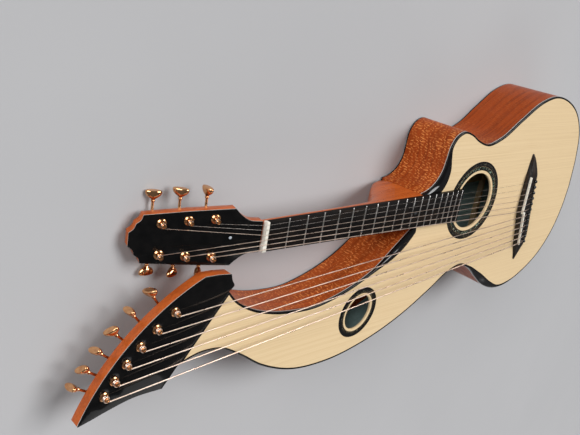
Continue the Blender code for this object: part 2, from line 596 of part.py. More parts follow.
def inside(build: Build, edge: Outline) -> None:
    """Build the bracing and the blocks."""
    top = -(TOP_THICK + GAP)
    pieces = [bar(f"brace_{i}", a, b, top - BRACE_HEIGHT + LAP_STEP * i, top, BRACE_WIDTH)
              for i, (a, b) in enumerate(TOP_BRACES)]
    pieces.append(plate("bridge_plate", [BRIDGE_PLATE], top - BRIDGE_PLATE_HEIGHT, top))
    pieces.append(bar("brace_link", *BRACE_LINK, top - LINK_HEIGHT, top, BRACE_WIDTH))
    build.add("top_bracing", fused("top_bracing", pieces), "spruce")

    floor = BACK_THICK + GAP
    pieces = [bar(f"rung_{i}", a, b, floor, floor + BRACE_HEIGHT, BRACE_WIDTH)
              for i, (a, b) in enumerate(BACK_BRACES)]
    pieces.append(bar("spine", *BACK_SPINE, floor, floor + SPINE_HEIGHT, SPINE_WIDTH))
    pieces.append(bar("arm_spine", *ARM_SPINE, floor, floor + ARM_SPINE_HEIGHT, ARM_SPINE_WIDTH))
    build.add("back_bracing", fused("back_bracing", pieces), "spruce", on_back=True)

    def block(name: str, plan: list) -> None:
        low = [(x, y, back_level(x) + BACK_THICK + 2 * GAP) for x, y in plan]
        high = [(x, y, top) for x, y in plan]
        build.add(name, loft(name, [low, high]), "mahogany")

    lining = edge.inset(np.maximum(edge.width, RIB_THICK) + LINING_WIDTH + GAP)
    reach = NECK_END + BINDING_WIDTH + GAP
    treble_side = min(point[1] for point in lining[:4])
    bass_side = lining[-1]
    block("neck_block", [(reach, treble_side), (reach + NECK_BLOCK_LENGTH, treble_side),
                         (reach + NECK_BLOCK_LENGTH, bass_side[1]), (max(reach, bass_side[0]), bass_side[1]),
                         (reach, -BOARD_HALF_AT_NUT)])
    rear = [tuple(p) for p in lining if abs(p[1]) < TAIL_BLOCK_HALF and p[0] > 0]
    front = min(p[0] for p in rear) - TAIL_BLOCK_LENGTH
    block("tail_block", rear + [(front, rear[-1][1]), (front, rear[0][1])])


def board_top(x: float) -> float:
    """Return the height of the fretboard's top."""
    return BOARD_TOP_AT_SADDLE + math.tan(BOARD_PITCH) * x


def board_under(x: float) -> float:
    """Return the height of the fretboard's underside: sloped over the neck, level over the body."""
    start = board_top(-SCALE_LENGTH) - BOARD_THICK_AT_NUT
    share = min(1.0, (x + SCALE_LENGTH) / (NECK_END + SCALE_LENGTH))
    return start + (GAP - start) * share


def board_half(x: float) -> float:
    """Return half the fretboard's width."""
    return BOARD_HALF_AT_NUT + math.tan(BOARD_FLARE) * (x + SCALE_LENGTH)


def head_matrix() -> Matrix:
    """Return the headstock face's frame: X along the head, Z out of its face."""
    c, s = math.cos(HEAD_TILT), math.sin(HEAD_TILT)
    return Matrix(((-c, 0, -s, -SCALE_LENGTH - HEAD_SETBACK), (0, -1, 0, 0), (-s, 0, c, HEAD_LEVEL),
                   (0, 0, 0, 1)))


def tuner_hole(frame: Matrix, plane: Matrix, radius: float) -> list:
    """Return the outline of a bushing's hole in the plane of its head."""
    local = plane.inverted() @ frame
    ring = [local @ Vector((radius * math.cos(k * math.pi / 4), radius * math.sin(k * math.pi / 4), 0))
            for k in range(8)]
    return [(p.x, p.y) for p in ring]


def neck(build: Build, tuners: list) -> None:
    """Build the neck with its heel and headstock, the veneer, fretboard and nut."""
    full = -back_level(NECK_END) - SHAFT_SHOULDER - HEEL_LIFT - GAP
    stations = [(-SCALE_LENGTH - 2 * HEAD_SETBACK, SHAFT_DEPTH_AT_NUT, 2.0),
                (-SCALE_LENGTH + HEAD_SETBACK * 4, SHAFT_DEPTH_AT_NUT, 2.0)]
    stations += [(NECK_END - GAP - HEEL_LENGTH * away,
                  SHAFT_DEPTH_AT_HEEL + (full - SHAFT_DEPTH_AT_HEEL) * deep, power)
                 for away, deep, power in HEEL]
    rings = []
    for x, deep, power in stations:
        half = board_half(max(x, -SCALE_LENGTH))
        level = min(board_under(max(x, -SCALE_LENGTH)) - GAP, 0.0)
        ring = [(x, half, level), (x, -half, level)]
        for k in range(9):
            a = math.pi * (1 - k / 8)
            across = math.copysign(abs(math.cos(a)) ** (2 / power), math.cos(a))
            ring.append((x, half * across, level - SHAFT_SHOULDER - deep * math.sin(a) ** (2 / power)))
        rings.append(ring)
    shaft = build.add("neck", loft("neck", rings), "mahogany")

    plane = head_matrix()
    side = [(s, y) for s, y in HEAD_SIDE]
    outline = side + [(s, -y) for s, y in reversed(side)]
    holes = [tuner_hole(frame, plane, SLEEVE_RADIUS + FIT) for frame in tuners]
    core = moved(plate("headstock_core", [outline] + holes, -HEAD_THICK, -VENEER_THICK - GAP), plane)
    build.shape(shaft, core, "UNION")
    build.add("headstock_veneer", plate("headstock_veneer", [outline] + holes, -VENEER_THICK, 0.0), "ebony",
              plane)

    places = [-SCALE_LENGTH * 2 ** (-i / 12) for i in range(1, FRETS + 1)]
    rows = [(-SCALE_LENGTH + GAP, 0.0), (NECK_END, 0.0), (places[-1] + BOARD_OVERHANG, 0.0)]
    for x in places:
        rows += [(x - FRET_WIDTH / 2, 0.0), (x, FRET_HEIGHT), (x + FRET_WIDTH / 2, 0.0)]
    rings = []
    for x, rise in sorted(rows):
        half, low, high = board_half(x), board_under(x), board_top(x) + rise
        rings.append([(x, half, low), (x, -half, low), (x, -half, high), (x, half, high)])
    build.add("fretboard", loft("fretboard", rings), "ebony")

    front, half = -SCALE_LENGTH, BOARD_HALF_AT_NUT
    rear = front - NUT_LENGTH
    plan = [(front, half), (front, -half), (rear - NUT_STEP, -half), (rear - NUT_STEP, NUT_STEP_AT),
            (rear, NUT_STEP_AT), (rear, half)]
    build.add("nut", plate("nut", [plan], board_under(front), board_top(front) + NUT_HEIGHT), "bone")


def harp_edge(along: float, inset: float) -> tuple:
    """Return the place on the harp head's round edge, or inside it, and the way that it faces there.

    Args:
        along: distance from the crown along the circle at that inset.
        inset: distance inside the edge.
    """
    radius = HARP_RADIUS - inset
    angle = HARP_FACING + along / radius
    return (HARP_CENTRE[0] + radius * math.cos(angle), HARP_CENTRE[1] + radius * math.sin(angle)), angle


def harp_head(build: Build, edge: Outline, tuners: list) -> None:
    """Build the harp head with its heel and the tenon in the arm, and its veneer."""
    outer, apex = edge.loop[edge.arm_end], edge.loop[edge.arm_end + 1]
    along = (outer - apex) / np.linalg.norm(outer - apex)
    out = np.array([along[1], -along[0]])
    arc = [harp_edge(HARP_HALF * (k / 4.5 - 1), 0.0)[0] for k in range(10)]
    corners = [(apex, HARP_NOTCH), (arc[0], HARP_TOP), (arc[-1], HARP_BOTTOM)]
    notch, top_side, bottom = [[(at[0] + x, at[1] + y) for x, y in offsets] for at, offsets in corners]
    outline = ([tuple(apex + out * GAP)] + notch + top_side + arc + bottom + [tuple(outer + out * GAP)])
    holes = [tuner_hole(frame, Matrix(), SLEEVE_RADIUS + FIT) for frame in tuners]
    head = build.add("harp_head", plate("harp_head", [outline] + holes, -HARP_THICK, -VENEER_THICK - GAP),
                     "mahogany")
    build.add("harp_head_veneer", plate("harp_head_veneer", [outline] + holes, -VENEER_THICK, 0.0), "ebony")

    arm_points, arm_steps, arm_widths, _ = edge.run(edge.arm_end + 1, len(edge.loop) - 1)
    bass_points, bass_steps, bass_widths, _ = edge.run(edge.tail, edge.arm_end)
    arm_steps[0] = along / (along @ arm_steps[0])
    bass_steps[-1] = -along / (-along @ bass_steps[-1])
    room = LINING_WIDTH + 2 * GAP
    arm_inset = arm_points + arm_steps * (arm_widths + room)[:, None]
    bass_inset = bass_points + bass_steps * (bass_widths + room)[:, None]

    def within(points) -> list:
        return [p for p in points if -TENON_LENGTH < (p - apex) @ out <= WELD]
    upper, lower = within(arm_inset), within(bass_inset)
    plan = [upper[0] + out * TENON_REACH] + upper + lower + [lower[-1] + out * TENON_REACH]
    top = -(TOP_THICK + 2 * GAP)
    low = [(*p, back_level(p[0]) + BACK_THICK + 2 * GAP) for p in plan]
    high = [(*p, top) for p in plan]
    build.shape(head, loft("tenon", [low, high]), "UNION")

    foot = back_level(outer[0]) + HARP_HEEL_LIFT
    level = -HARP_THICK
    rings = []
    for k in range(7):
        t = k / 6
        reach = GAP + (HARP_HEEL_LENGTH - GAP) * t
        deep = level - (level - foot) * (1 - t) ** 2 - HARP_HEEL_EDGE
        taper = HARP_HEEL_TAPER * t
        a = apex + along * (HARP_HEEL_SPAN[0] + taper) + out * reach
        b = apex + along * (HARP_HEEL_SPAN[1] - taper) + out * reach
        sunk = level + HARP_HEEL_SINK
        rings.append([(*a, sunk), (*b, sunk), (*b, deep), (*a, deep)])
    build.shape(head, loft("heel", rings), "UNION")


def bridge(build: Build) -> None:
    """Build the bridge with its pins, and the saddle in its slot."""
    rings = []
    for y, front, brow, rear, drop in BRIDGE:
        top = BRIDGE_HEIGHT - drop
        rings.append([(front, y, GAP), (brow, y, top), (rear, y, top), (rear, y, GAP)])
    block = build.add("bridge", loft("bridge", rings), "ebony")
    saddle_edge = np.array(SADDLE_EDGE)
    grow = inward(saddle_edge)
    if sum(x * v - y * u for (x, y), (u, v) in zip(SADDLE_EDGE, SADDLE_EDGE[1:] + SADDLE_EDGE[:1])) < 0:
        grow = -grow
    slot = [tuple(p) for p in saddle_edge + grow * GAP]
    build.shape(block, plate("slot", [slot], SADDLE_BOTTOM - GAP, BRIDGE_HEIGHT + CUT_PAST), "DIFFERENCE")
    pins = bmesh.new()
    for x, y in pin_places():
        low, high = BRIDGE_HEIGHT - PIN_SINK, BRIDGE_HEIGHT + PIN_HEIGHT
        pin = swept("pin", [(0, low), (PIN_RADIUS, low), (PIN_RADIUS, high), (0, high)], 6, False)
        pins.from_mesh(moved(pin, Matrix.Translation((x, y, 0))))
    build.shape(block, clean(pins, "pins"), "UNION")
    build.add("saddle", plate("saddle", [SADDLE_EDGE], SADDLE_BOTTOM, SADDLE_TOP), "bone")


def string_across(i: int) -> float:
    """Return a string's place across the saddle."""
    return STRING_FIRST - STRING_SPACING * i


def pin_places() -> list:
    """Return the place of each pin."""
    along = [first + step * i for first, step in (NECK_PINS, BASS_PINS) for i in range(6)]
    return [(x, string_across(i)) for i, x in enumerate(along)]


def tuner_frames() -> tuple:
    """Return the frames of the neck's and the harp head's tuners: X to the knob, Z to the face.

    The origin is on the post's axis at the back of the head. Neck tuners run from the highest string
    to the lowest, so the bass side's last come first from the head's tip.
    """
    plane = head_matrix()
    treble, bass = [], []
    for s, y in HEAD_POSTS:
        for row, way in ((treble, -1), (bass, 1)):
            place = Matrix.Translation((s, way * y, -HEAD_THICK))
            row.append(plane @ place @ Matrix.Rotation(way * math.pi / 2, 4, "Z"))
    harp = []
    for along in HARP_POSTS:
        place, angle = harp_edge(along, HARP_POST_INSET)
        harp.append(Matrix.Translation((*place, -HARP_THICK)) @ Matrix.Rotation(angle, 4, "Z"))
    return treble + bass[::-1], harp


def knob_mesh() -> bpy.types.Mesh:
    """Return a knob: a shaft along X with its worm at the origin, a collar and a button."""
    inner = -(LUG_AT + LUG_THICK / 2 + 2 * GAP)
    outer = LUG_AT + LUG_THICK / 2 + GAP
    tip = KNOB_REACH - BUTTON_ROOT
    profile = [(0, inner), (SHAFT_RADIUS, inner), (SHAFT_RADIUS, outer), (COLLAR_RADIUS, outer),
               (COLLAR_WAIST, outer + COLLAR_LENGTH), (COLLAR_RADIUS, tip), (0, tip + BUTTON_SINK)]
    shaft = swept("shaft", profile, KNOB_SIDES, False)
    crest, root = WORM_RADIUS + ADDENDUM, SHAFT_RADIUS * 0.7
    foot = THREAD_FOOT / 2 + (THREAD_FOOT - THREAD_TIP) / 2 * (SHAFT_RADIUS - root) / (crest - SHAFT_RADIUS)
    start = -THREAD_PITCH * THREAD_TURNS / 2
    thread = swept("thread", [(root, start - foot), (crest, start - THREAD_TIP / 2),
                              (crest, start + THREAD_TIP / 2), (root, start + foot)], KNOB_SIDES, True,
                   THREAD_TURNS, THREAD_PITCH)
    # turned so that the thread's middle is at the origin on the side where its sweep's angle is zero
    thread.transform(Matrix.Rotation(-math.pi * THREAD_TURNS, 4, "Z"))
    bm = bmesh.new()
    bmesh.ops.create_uvsphere(bm, u_segments=8, v_segments=5, radius=1.0)
    bmesh.ops.scale(bm, vec=(BUTTON_RADII[2], BUTTON_RADII[1], BUTTON_RADII[0]), verts=bm.verts)
    bmesh.ops.translate(bm, vec=(0, 0, KNOB_REACH), verts=bm.verts)
    button = clean(bm, "button")
    mesh = fused("knob", [shaft, thread, button])
    mesh.transform(Matrix(((0, 0, 1, 0), (1, 0, 0, 0), (0, 1, 0, 0), (0, 0, 0, 1))))
    return mesh


def post_mesh() -> bpy.types.Mesh:
    """Return a post along Z with its toothed wheel; the origin is at the back of the head."""
    foot, tip = WHEEL_RADIUS - DEDENDUM, WHEEL_RADIUS + ADDENDUM
    rings = []
    for level in (-WHEEL_THICK / 2, WHEEL_THICK / 2):
        ring = []
        for tooth in range(WHEEL_TEETH):
            middle = 2 * math.pi * tooth / WHEEL_TEETH + WHEEL_TWIST * level
            corners = (foot, -WHEEL_FOOT), (tip, -WHEEL_TIP), (tip, WHEEL_TIP), (foot, WHEEL_FOOT)
            for radius, width in corners:
                a = middle + width / 2 / radius
                ring.append((radius * math.cos(a), radius * math.sin(a), WHEEL_LEVEL + level))
        rings.append(ring)
    wheel = loft("wheel", rings)
    shaft = swept("post", [(0, WHEEL_LEVEL), (POST_RADIUS, WHEEL_LEVEL),
                           (POST_RADIUS, WAIST_LOW - WAIST_EASE), (POST_WAIST, WAIST_LOW),
                           (POST_WAIST, WAIST_HIGH),
                           (POST_RADIUS, WAIST_HIGH + WAIST_EASE), (POST_RADIUS, POST_TOP),
                           (0, POST_TOP)], 8, False)
    return fused("post", [shaft, wheel])


def tuner_plate(name: str, outline: list, plane: Matrix, frames: list, sides: list, thick: float):
    """Return a plate for a row of tuners, with a bushing and two bearing lugs for each."""
    low, high = -(GAP + PLATE_THICK), -GAP
    holes = [tuner_hole(frame, plane, (BORE_RADIUS + SLEEVE_RADIUS) / 2) for frame in frames]
    pieces = [moved(plate(name, [outline] + holes, low, high), plane)]
    for frame, side in zip(frames, sides):
        rim = thick + GAP
        sleeve = swept("sleeve", [(BORE_RADIUS, low + JOIN), (SLEEVE_RADIUS, low + JOIN),
                                  (SLEEVE_RADIUS, rim), (WASHER_RADIUS, rim),
                                  (WASHER_RADIUS, rim + WASHER_THICK),
                                  (BORE_RADIUS, rim + WASHER_THICK)], 8, True)
        pieces.append(moved(sleeve, frame))
        drop = WHEEL_LEVEL - LUG_HALF
        for x in (-LUG_AT, LUG_AT):
            middle = side * CENTRE_DISTANCE
            edge = [(middle - LUG_HALF, low + JOIN), (middle + LUG_HALF, low + JOIN),
                    (middle + LUG_HALF, drop), (middle - LUG_HALF, drop)]
            bore = ellipse((middle, WHEEL_LEVEL), (LUG_BORE, LUG_BORE), 6)
            lug = plate("lug", [edge, bore], x - LUG_THICK / 2, x + LUG_THICK / 2)
            lug.transform(Matrix(((0, 0, 1, 0), (1, 0, 0, 0), (0, 1, 0, 0), (0, 0, 0, 1))))
            pieces.append(moved(lug, frame))
    return fused(name, pieces)


def tuners(build: Build, neck_frames: list, harp_frames: list) -> None:
    """Build the tuning machines."""
    neck_sides = [1, 1, 1, -1, -1, -1]
    plane = head_matrix() @ Matrix.Translation((0, 0, -HEAD_THICK))
    first, last = HEAD_POSTS[0], HEAD_POSTS[-1]
    ahead = (Vector(last) - Vector(first)).normalized()
    across = Vector((-ahead.y, ahead.x))
    strip = [Vector(first) - ahead * PLATE_END - across * PLATE_HALF,
             Vector(last) + ahead * PLATE_END - across * PLATE_HALF,
             Vector(last) + ahead * PLATE_END + across * PLATE_HALF,
             Vector(first) - ahead * PLATE_END + across * PLATE_HALF]
    for name, sign, rows in (("treble_tuner_plate", -1, slice(0, 3)), ("bass_tuner_plate", 1, slice(3, 6))):
        outline = [(p.x, sign * p.y) for p in strip]
        mesh = tuner_plate(name, outline, plane, neck_frames[rows], neck_sides[rows], HEAD_THICK)
        build.add(name, mesh, "gold_plate")
    ends = HARP_POSTS[0] - PLATE_END, HARP_POSTS[-1] + PLATE_END
    angles = np.linspace(*ends, 9) / (HARP_RADIUS - HARP_POST_INSET)
    outline = []
    for inset, run in ((HARP_POST_INSET + PLATE_HALF, angles), (HARP_POST_INSET - PLATE_HALF, angles[::-1])):
        outline += [harp_edge(angle * (HARP_RADIUS - inset), inset)[0] for angle in run]
    lowered = Matrix.Translation((0, 0, -HARP_THICK))
    mesh = tuner_plate("harp_tuner_plate", outline, lowered, harp_frames, [1] * 6, HARP_THICK)
    build.add("harp_tuner_plate", mesh, "gold_plate")

    knob, post = knob_mesh(), post_mesh()
    rows = [("neck", neck_frames, neck_sides, NECK_TURNS), ("harp", harp_frames, [1] * 6, HARP_TURNS)]
    for head, frames, sides, turns in rows:
        for i, (frame, side, turn) in enumerate(zip(frames, sides, turns), 1):
            # a worm on the far side meets the wheel half a turn later
            phase = turn + (math.pi if side < 0 else 0.0)
            worm = frame @ Matrix.Translation((0, side * CENTRE_DISTANCE, WHEEL_LEVEL))
            build.add(f"{head}_knob_{i}", knob, "gold_plate", worm @ Matrix.Rotation(phase, 4, "X"))
            build.add(f"{head}_post_{i}", post, "gold_plate",
                      frame @ Matrix.Rotation(side * turn / WHEEL_TEETH, 4, "Z"))


def winding(frame: Matrix, source: Vector, radius: float, inner: float) -> list:
    """Return a string's points from its tangent on a post to the end of its winding.

    Args:
        frame: the tuner's frame.
        source: the point the string comes from.
        radius: the string's radius.
        inner: direction, in the tuner's frame, of the side of the post the string meets.
    """
    reach = (POST_WAIST + GAP + radius) / math.cos(math.pi / COIL_POINTS)
    local = frame.inverted() @ source
    base = math.atan2(local.y, local.x)
    spread = math.acos(reach / math.hypot(local.x, local.y))
    start = max((base - spread, base + spread), key=lambda a: math.cos(a - inner))
    way = -(math.cos(start) * local.y - math.sin(start) * local.x)
    sense = 1 if way > 0 else -1
    points = []
    for k in range(round(STRING_TURNS * COIL_POINTS) + 1):
        a = start + sense * 2 * math.pi * k / COIL_POINTS
        level = STRING_LEVEL - (2 * radius + COIL_SPACE) * k / COIL_POINTS
        points.append(frame @ Vector((reach * math.cos(a), reach * math.sin(a), level)))
    return points


def least_gap(points: list, radius: float) -> float:
    """Return the least gap of a tube to itself, past its own neighbours."""
    dense = [a.lerp(b, t / 4) for a, b in zip(points, points[1:]) for t in range(4)]
    dense = dense[-4 * round(STRING_TURNS * COIL_POINTS) - 8:] + [points[-1]]
    away = 2 * COIL_POINTS
    gaps = [(a - b).length for i, a in enumerate(dense) for b in dense[i + away:]]
    return min(gaps) - 2 * radius


def strings(build: Build, neck_frames: list, harp_frames: list) -> None:
    """Build the strings, each one tube from its pin over the saddle to the winding on its post."""
    gaps = []
    nut_level = board_top(-SCALE_LENGTH) + NUT_HEIGHT
    for i, (x_pin, y) in enumerate(pin_places()):
        radius = STRING_RADII[i]
        lift = GAP + radius
        if i < 6:
            saddle = Vector((NECK_SADDLE[0] + NECK_SADDLE[1] * i, y, SADDLE_TOP + lift))
            nut_back = -SCALE_LENGTH - NUT_LENGTH - (NUT_STEP if i > 3 else 0.0)
            y_nut = NUT_FIRST - NUT_SPACING * i
            guides = [Vector((-SCALE_LENGTH, y_nut, nut_level + lift)),
                      Vector((nut_back, y_nut, nut_level + lift))]
            frame = neck_frames[i]
        else:
            saddle = Vector((BASS_SADDLE[0] + BASS_SADDLE[1] * (i - 6), y, SADDLE_TOP + lift))
            guides = []
            frame = harp_frames[i - 6]
        start = Vector((x_pin - PIN_RADIUS - lift, y, BRIDGE_HEIGHT + lift))
        behind = saddle + Vector((REST_REAR, 0.0, 0.0))
        front = saddle - Vector((REST_FRONT, 0.0, 0.0))
        points = [start, behind, front] + guides
        points += winding(frame, points[-1], radius, math.pi)
        gaps.append(least_gap(points, radius))
        name = f"neck_string_{i + 1}" if i < 6 else f"bass_string_{i - 5}"
        curve = bpy.data.curves.new(name, "CURVE")
        curve.dimensions = "3D"
        curve.bevel_depth = radius
        curve.bevel_resolution = 0
        curve.use_fill_caps = True
        spline = curve.splines.new("POLY")
        spline.points.add(len(points) - 1)
        for point, place in zip(spline.points, points):
            point.co = (*place, 1.0)
        build.add(name, baked(bpy.data.objects.new(name, curve)), "bronze_string")
    print(f"least gap of a string's winding to itself: {min(gaps) * 1000:.2f} mm")


def main() -> None:
    """Build the object."""
    build = Build()
    neck_frames, harp_frames = tuner_frames()
    edge = body(build)
    inside(build, edge)
    neck(build, neck_frames)
    harp_head(build, edge, harp_frames)
    bridge(build)
    tuners(build, neck_frames, harp_frames)
    strings(build, neck_frames, harp_frames)


main()
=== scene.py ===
"""Looks of a hollow-arm harp guitar: its woods, trim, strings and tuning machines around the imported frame.

Pieces are drawn in the soundboard's frame, in metres: X runs to the tail, Y to the treble side and Z out of
the soundboard, with the origin on the soundboard under the saddle. LAID lays that frame on its flat back.
"""

import json
import logging
import math
from dataclasses import dataclass, field, replace
from enum import Enum
from typing import ClassVar, Iterable, Sequence

import bmesh
import bpy
import numpy as np
from mathutils import Matrix, Vector

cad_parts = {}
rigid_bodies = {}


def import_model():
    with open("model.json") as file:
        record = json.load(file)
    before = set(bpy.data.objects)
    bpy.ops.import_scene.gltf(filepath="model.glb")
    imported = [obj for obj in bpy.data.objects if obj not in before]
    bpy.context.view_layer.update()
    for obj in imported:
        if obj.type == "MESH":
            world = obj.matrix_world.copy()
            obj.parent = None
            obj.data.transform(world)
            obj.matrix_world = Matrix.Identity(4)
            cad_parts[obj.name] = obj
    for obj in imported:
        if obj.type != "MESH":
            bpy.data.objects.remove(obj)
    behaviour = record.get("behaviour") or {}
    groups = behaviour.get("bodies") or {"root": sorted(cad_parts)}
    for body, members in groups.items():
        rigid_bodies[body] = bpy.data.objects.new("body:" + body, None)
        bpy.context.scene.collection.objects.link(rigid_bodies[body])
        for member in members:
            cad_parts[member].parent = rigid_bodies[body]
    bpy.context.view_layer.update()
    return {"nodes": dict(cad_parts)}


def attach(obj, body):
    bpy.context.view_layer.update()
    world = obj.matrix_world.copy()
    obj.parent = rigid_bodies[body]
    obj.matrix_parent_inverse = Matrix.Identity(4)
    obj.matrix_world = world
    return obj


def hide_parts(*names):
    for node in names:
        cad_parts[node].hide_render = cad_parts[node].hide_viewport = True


for leftover in list(bpy.data.objects):
    bpy.data.objects.remove(leftover, do_unlink=True)
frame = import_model()

LOG = logging.getLogger("harp_guitar")
INSTRUMENT = "instrument"
TAPER = math.radians(2.97669)
BODY_DEPTH = 0.1095
# LAID lays the soundboard's frame on its back, ON_BACK is the frame of the back, AXLE turns Z to X.
LAID = Matrix.Rotation(-TAPER, 4, "Y") @ Matrix.Translation((0.0, 0.0, BODY_DEPTH))
ON_BACK = Matrix()
AXLE = Matrix(((0, 0, 1, 0), (1, 0, 0, 0), (0, 1, 0, 0), (0, 0, 0, 1)))
# Clearance between pieces, and between pieces that are glued.
GAP = 0.0003
FINE_GAP = GAP / 3
HOLE_SIDES = 24
HOLE_SIDES_SMALL = 20
# Share of an eased corner's width at which its middle point stands.
EASE_SHARE = 0.3
# Turns, in degrees, from which an edge is eased on curved outlines.
STEEP = 60.0
STRINGS = 6

Colour = Triple = tuple[float, float, float]
Pair = tuple[float, float]
Keys = tuple[tuple[float, ...], ...]
Points = Sequence[Sequence[float]]
Tree = bpy.types.NodeTree
Socket = bpy.types.NodeSocket
Inputs = bpy.types.NodeInputs
Outputs = bpy.types.NodeOutputs


# Curves

def smooth_run(keys: Points, steps: int = 24) -> np.ndarray:
    """Return a smooth run through key points.

    Args:
        keys: points that the run goes through, of any dimension.
        steps: number of steps between two keys.

    Returns:
        One row for each point of the run.
    """
    p = np.array(keys, float)
    span = np.linalg.norm(np.diff(p, axis=0), axis=1)
    slope = np.diff(p, axis=0) / span[:, None]
    between = (slope[:-1] * span[1:, None] + slope[1:] * span[:-1, None]) / (span[1:] + span[:-1])[:, None]
    tangent = np.vstack([slope[:1], between, slope[-1:]])
    t = np.linspace(0, 1, steps, endpoint=False)[:, None]
    rows = [p[i] * (2 * t**3 - 3 * t**2 + 1) + p[i + 1] * (3 * t**2 - 2 * t**3)
            + length * (tangent[i] * (t**3 - 2 * t**2 + t) + tangent[i + 1] * (t**3 - t**2))
            for i, length in enumerate(span)]
    return np.vstack(rows + [p[-1:]])


def lengths(run: np.ndarray) -> np.ndarray:
    """Return the distance of each point of a run from its start."""
    return np.concatenate([[0.0], np.cumsum(np.linalg.norm(np.diff(run, axis=0), axis=1))])


def evenly(run: np.ndarray, spacing: float) -> np.ndarray:
    """Return a run with points at even distances.

    Args:
        run: points in order.
        spacing: distance wanted between two points.

    Returns:
        The new points, with the same ends.
    """
    length = lengths(run)
    places = np.linspace(0, length[-1], max(2, round(length[-1] / spacing)) + 1)
    return np.column_stack([np.interp(places, length, run[:, k]) for k in range(run.shape[1])])


def inward(loop: np.ndarray, closed: bool = True) -> np.ndarray:
    """Return each point's step to the right of its run that moves both its edges by one unit.

    Args:
        loop: points in order.
        closed: whether the last point joins the first.

    Returns:
        One step for each point.
    """
    ahead = np.roll(loop, -1, axis=0) - loop
    ahead /= np.linalg.norm(ahead, axis=1)[:, None]
    behind = np.roll(ahead, 1, axis=0)
    if not closed:
        ahead[-1], behind[0] = ahead[-2], ahead[0]
    middle = np.column_stack([ahead[:, 1] + behind[:, 1], -ahead[:, 0] - behind[:, 0]])
    return 2 * middle / np.sum(middle * middle, axis=1)[:, None]


def on_ellipse(centre: Sequence[float], radii: Sequence[float], angles: Sequence[float],
               turn: float = 0.0) -> np.ndarray:
    """Return points on an ellipse.

    Args:
        centre: its middle.
        radii: its two radii.
        angles: angle of each point from its first radius.
        turn: angle of its first radius.

    Returns:
        One row for each point.
    """
    x, y = radii[0] * np.cos(angles), radii[1] * np.sin(angles)
    c, s = math.cos(turn), math.sin(turn)
    return np.column_stack([centre[0] + x * c - y * s, centre[1] + x * s + y * c])


def around(sides: int) -> np.ndarray:
    """Return the angles of a full turn's even steps."""
    return np.linspace(0, 2 * math.pi, sides, endpoint=False)


def circle(centre: Sequence[float], radius: float, sides: int) -> np.ndarray:
    """Return the points of a circle."""
    return on_ellipse(centre, (radius, radius), around(sides))


def at_height(loop: Iterable[Sequence[float]], height: float) -> list[Triple]:
    """Return a flat loop's points at a height."""
    return [(x, y, height) for x, y in loop]


def back_level(x: float) -> float:
    """Return the height of the back's outer face at a place along the body."""
    return -(BODY_DEPTH + math.tan(TAPER) * x)


# Meshes

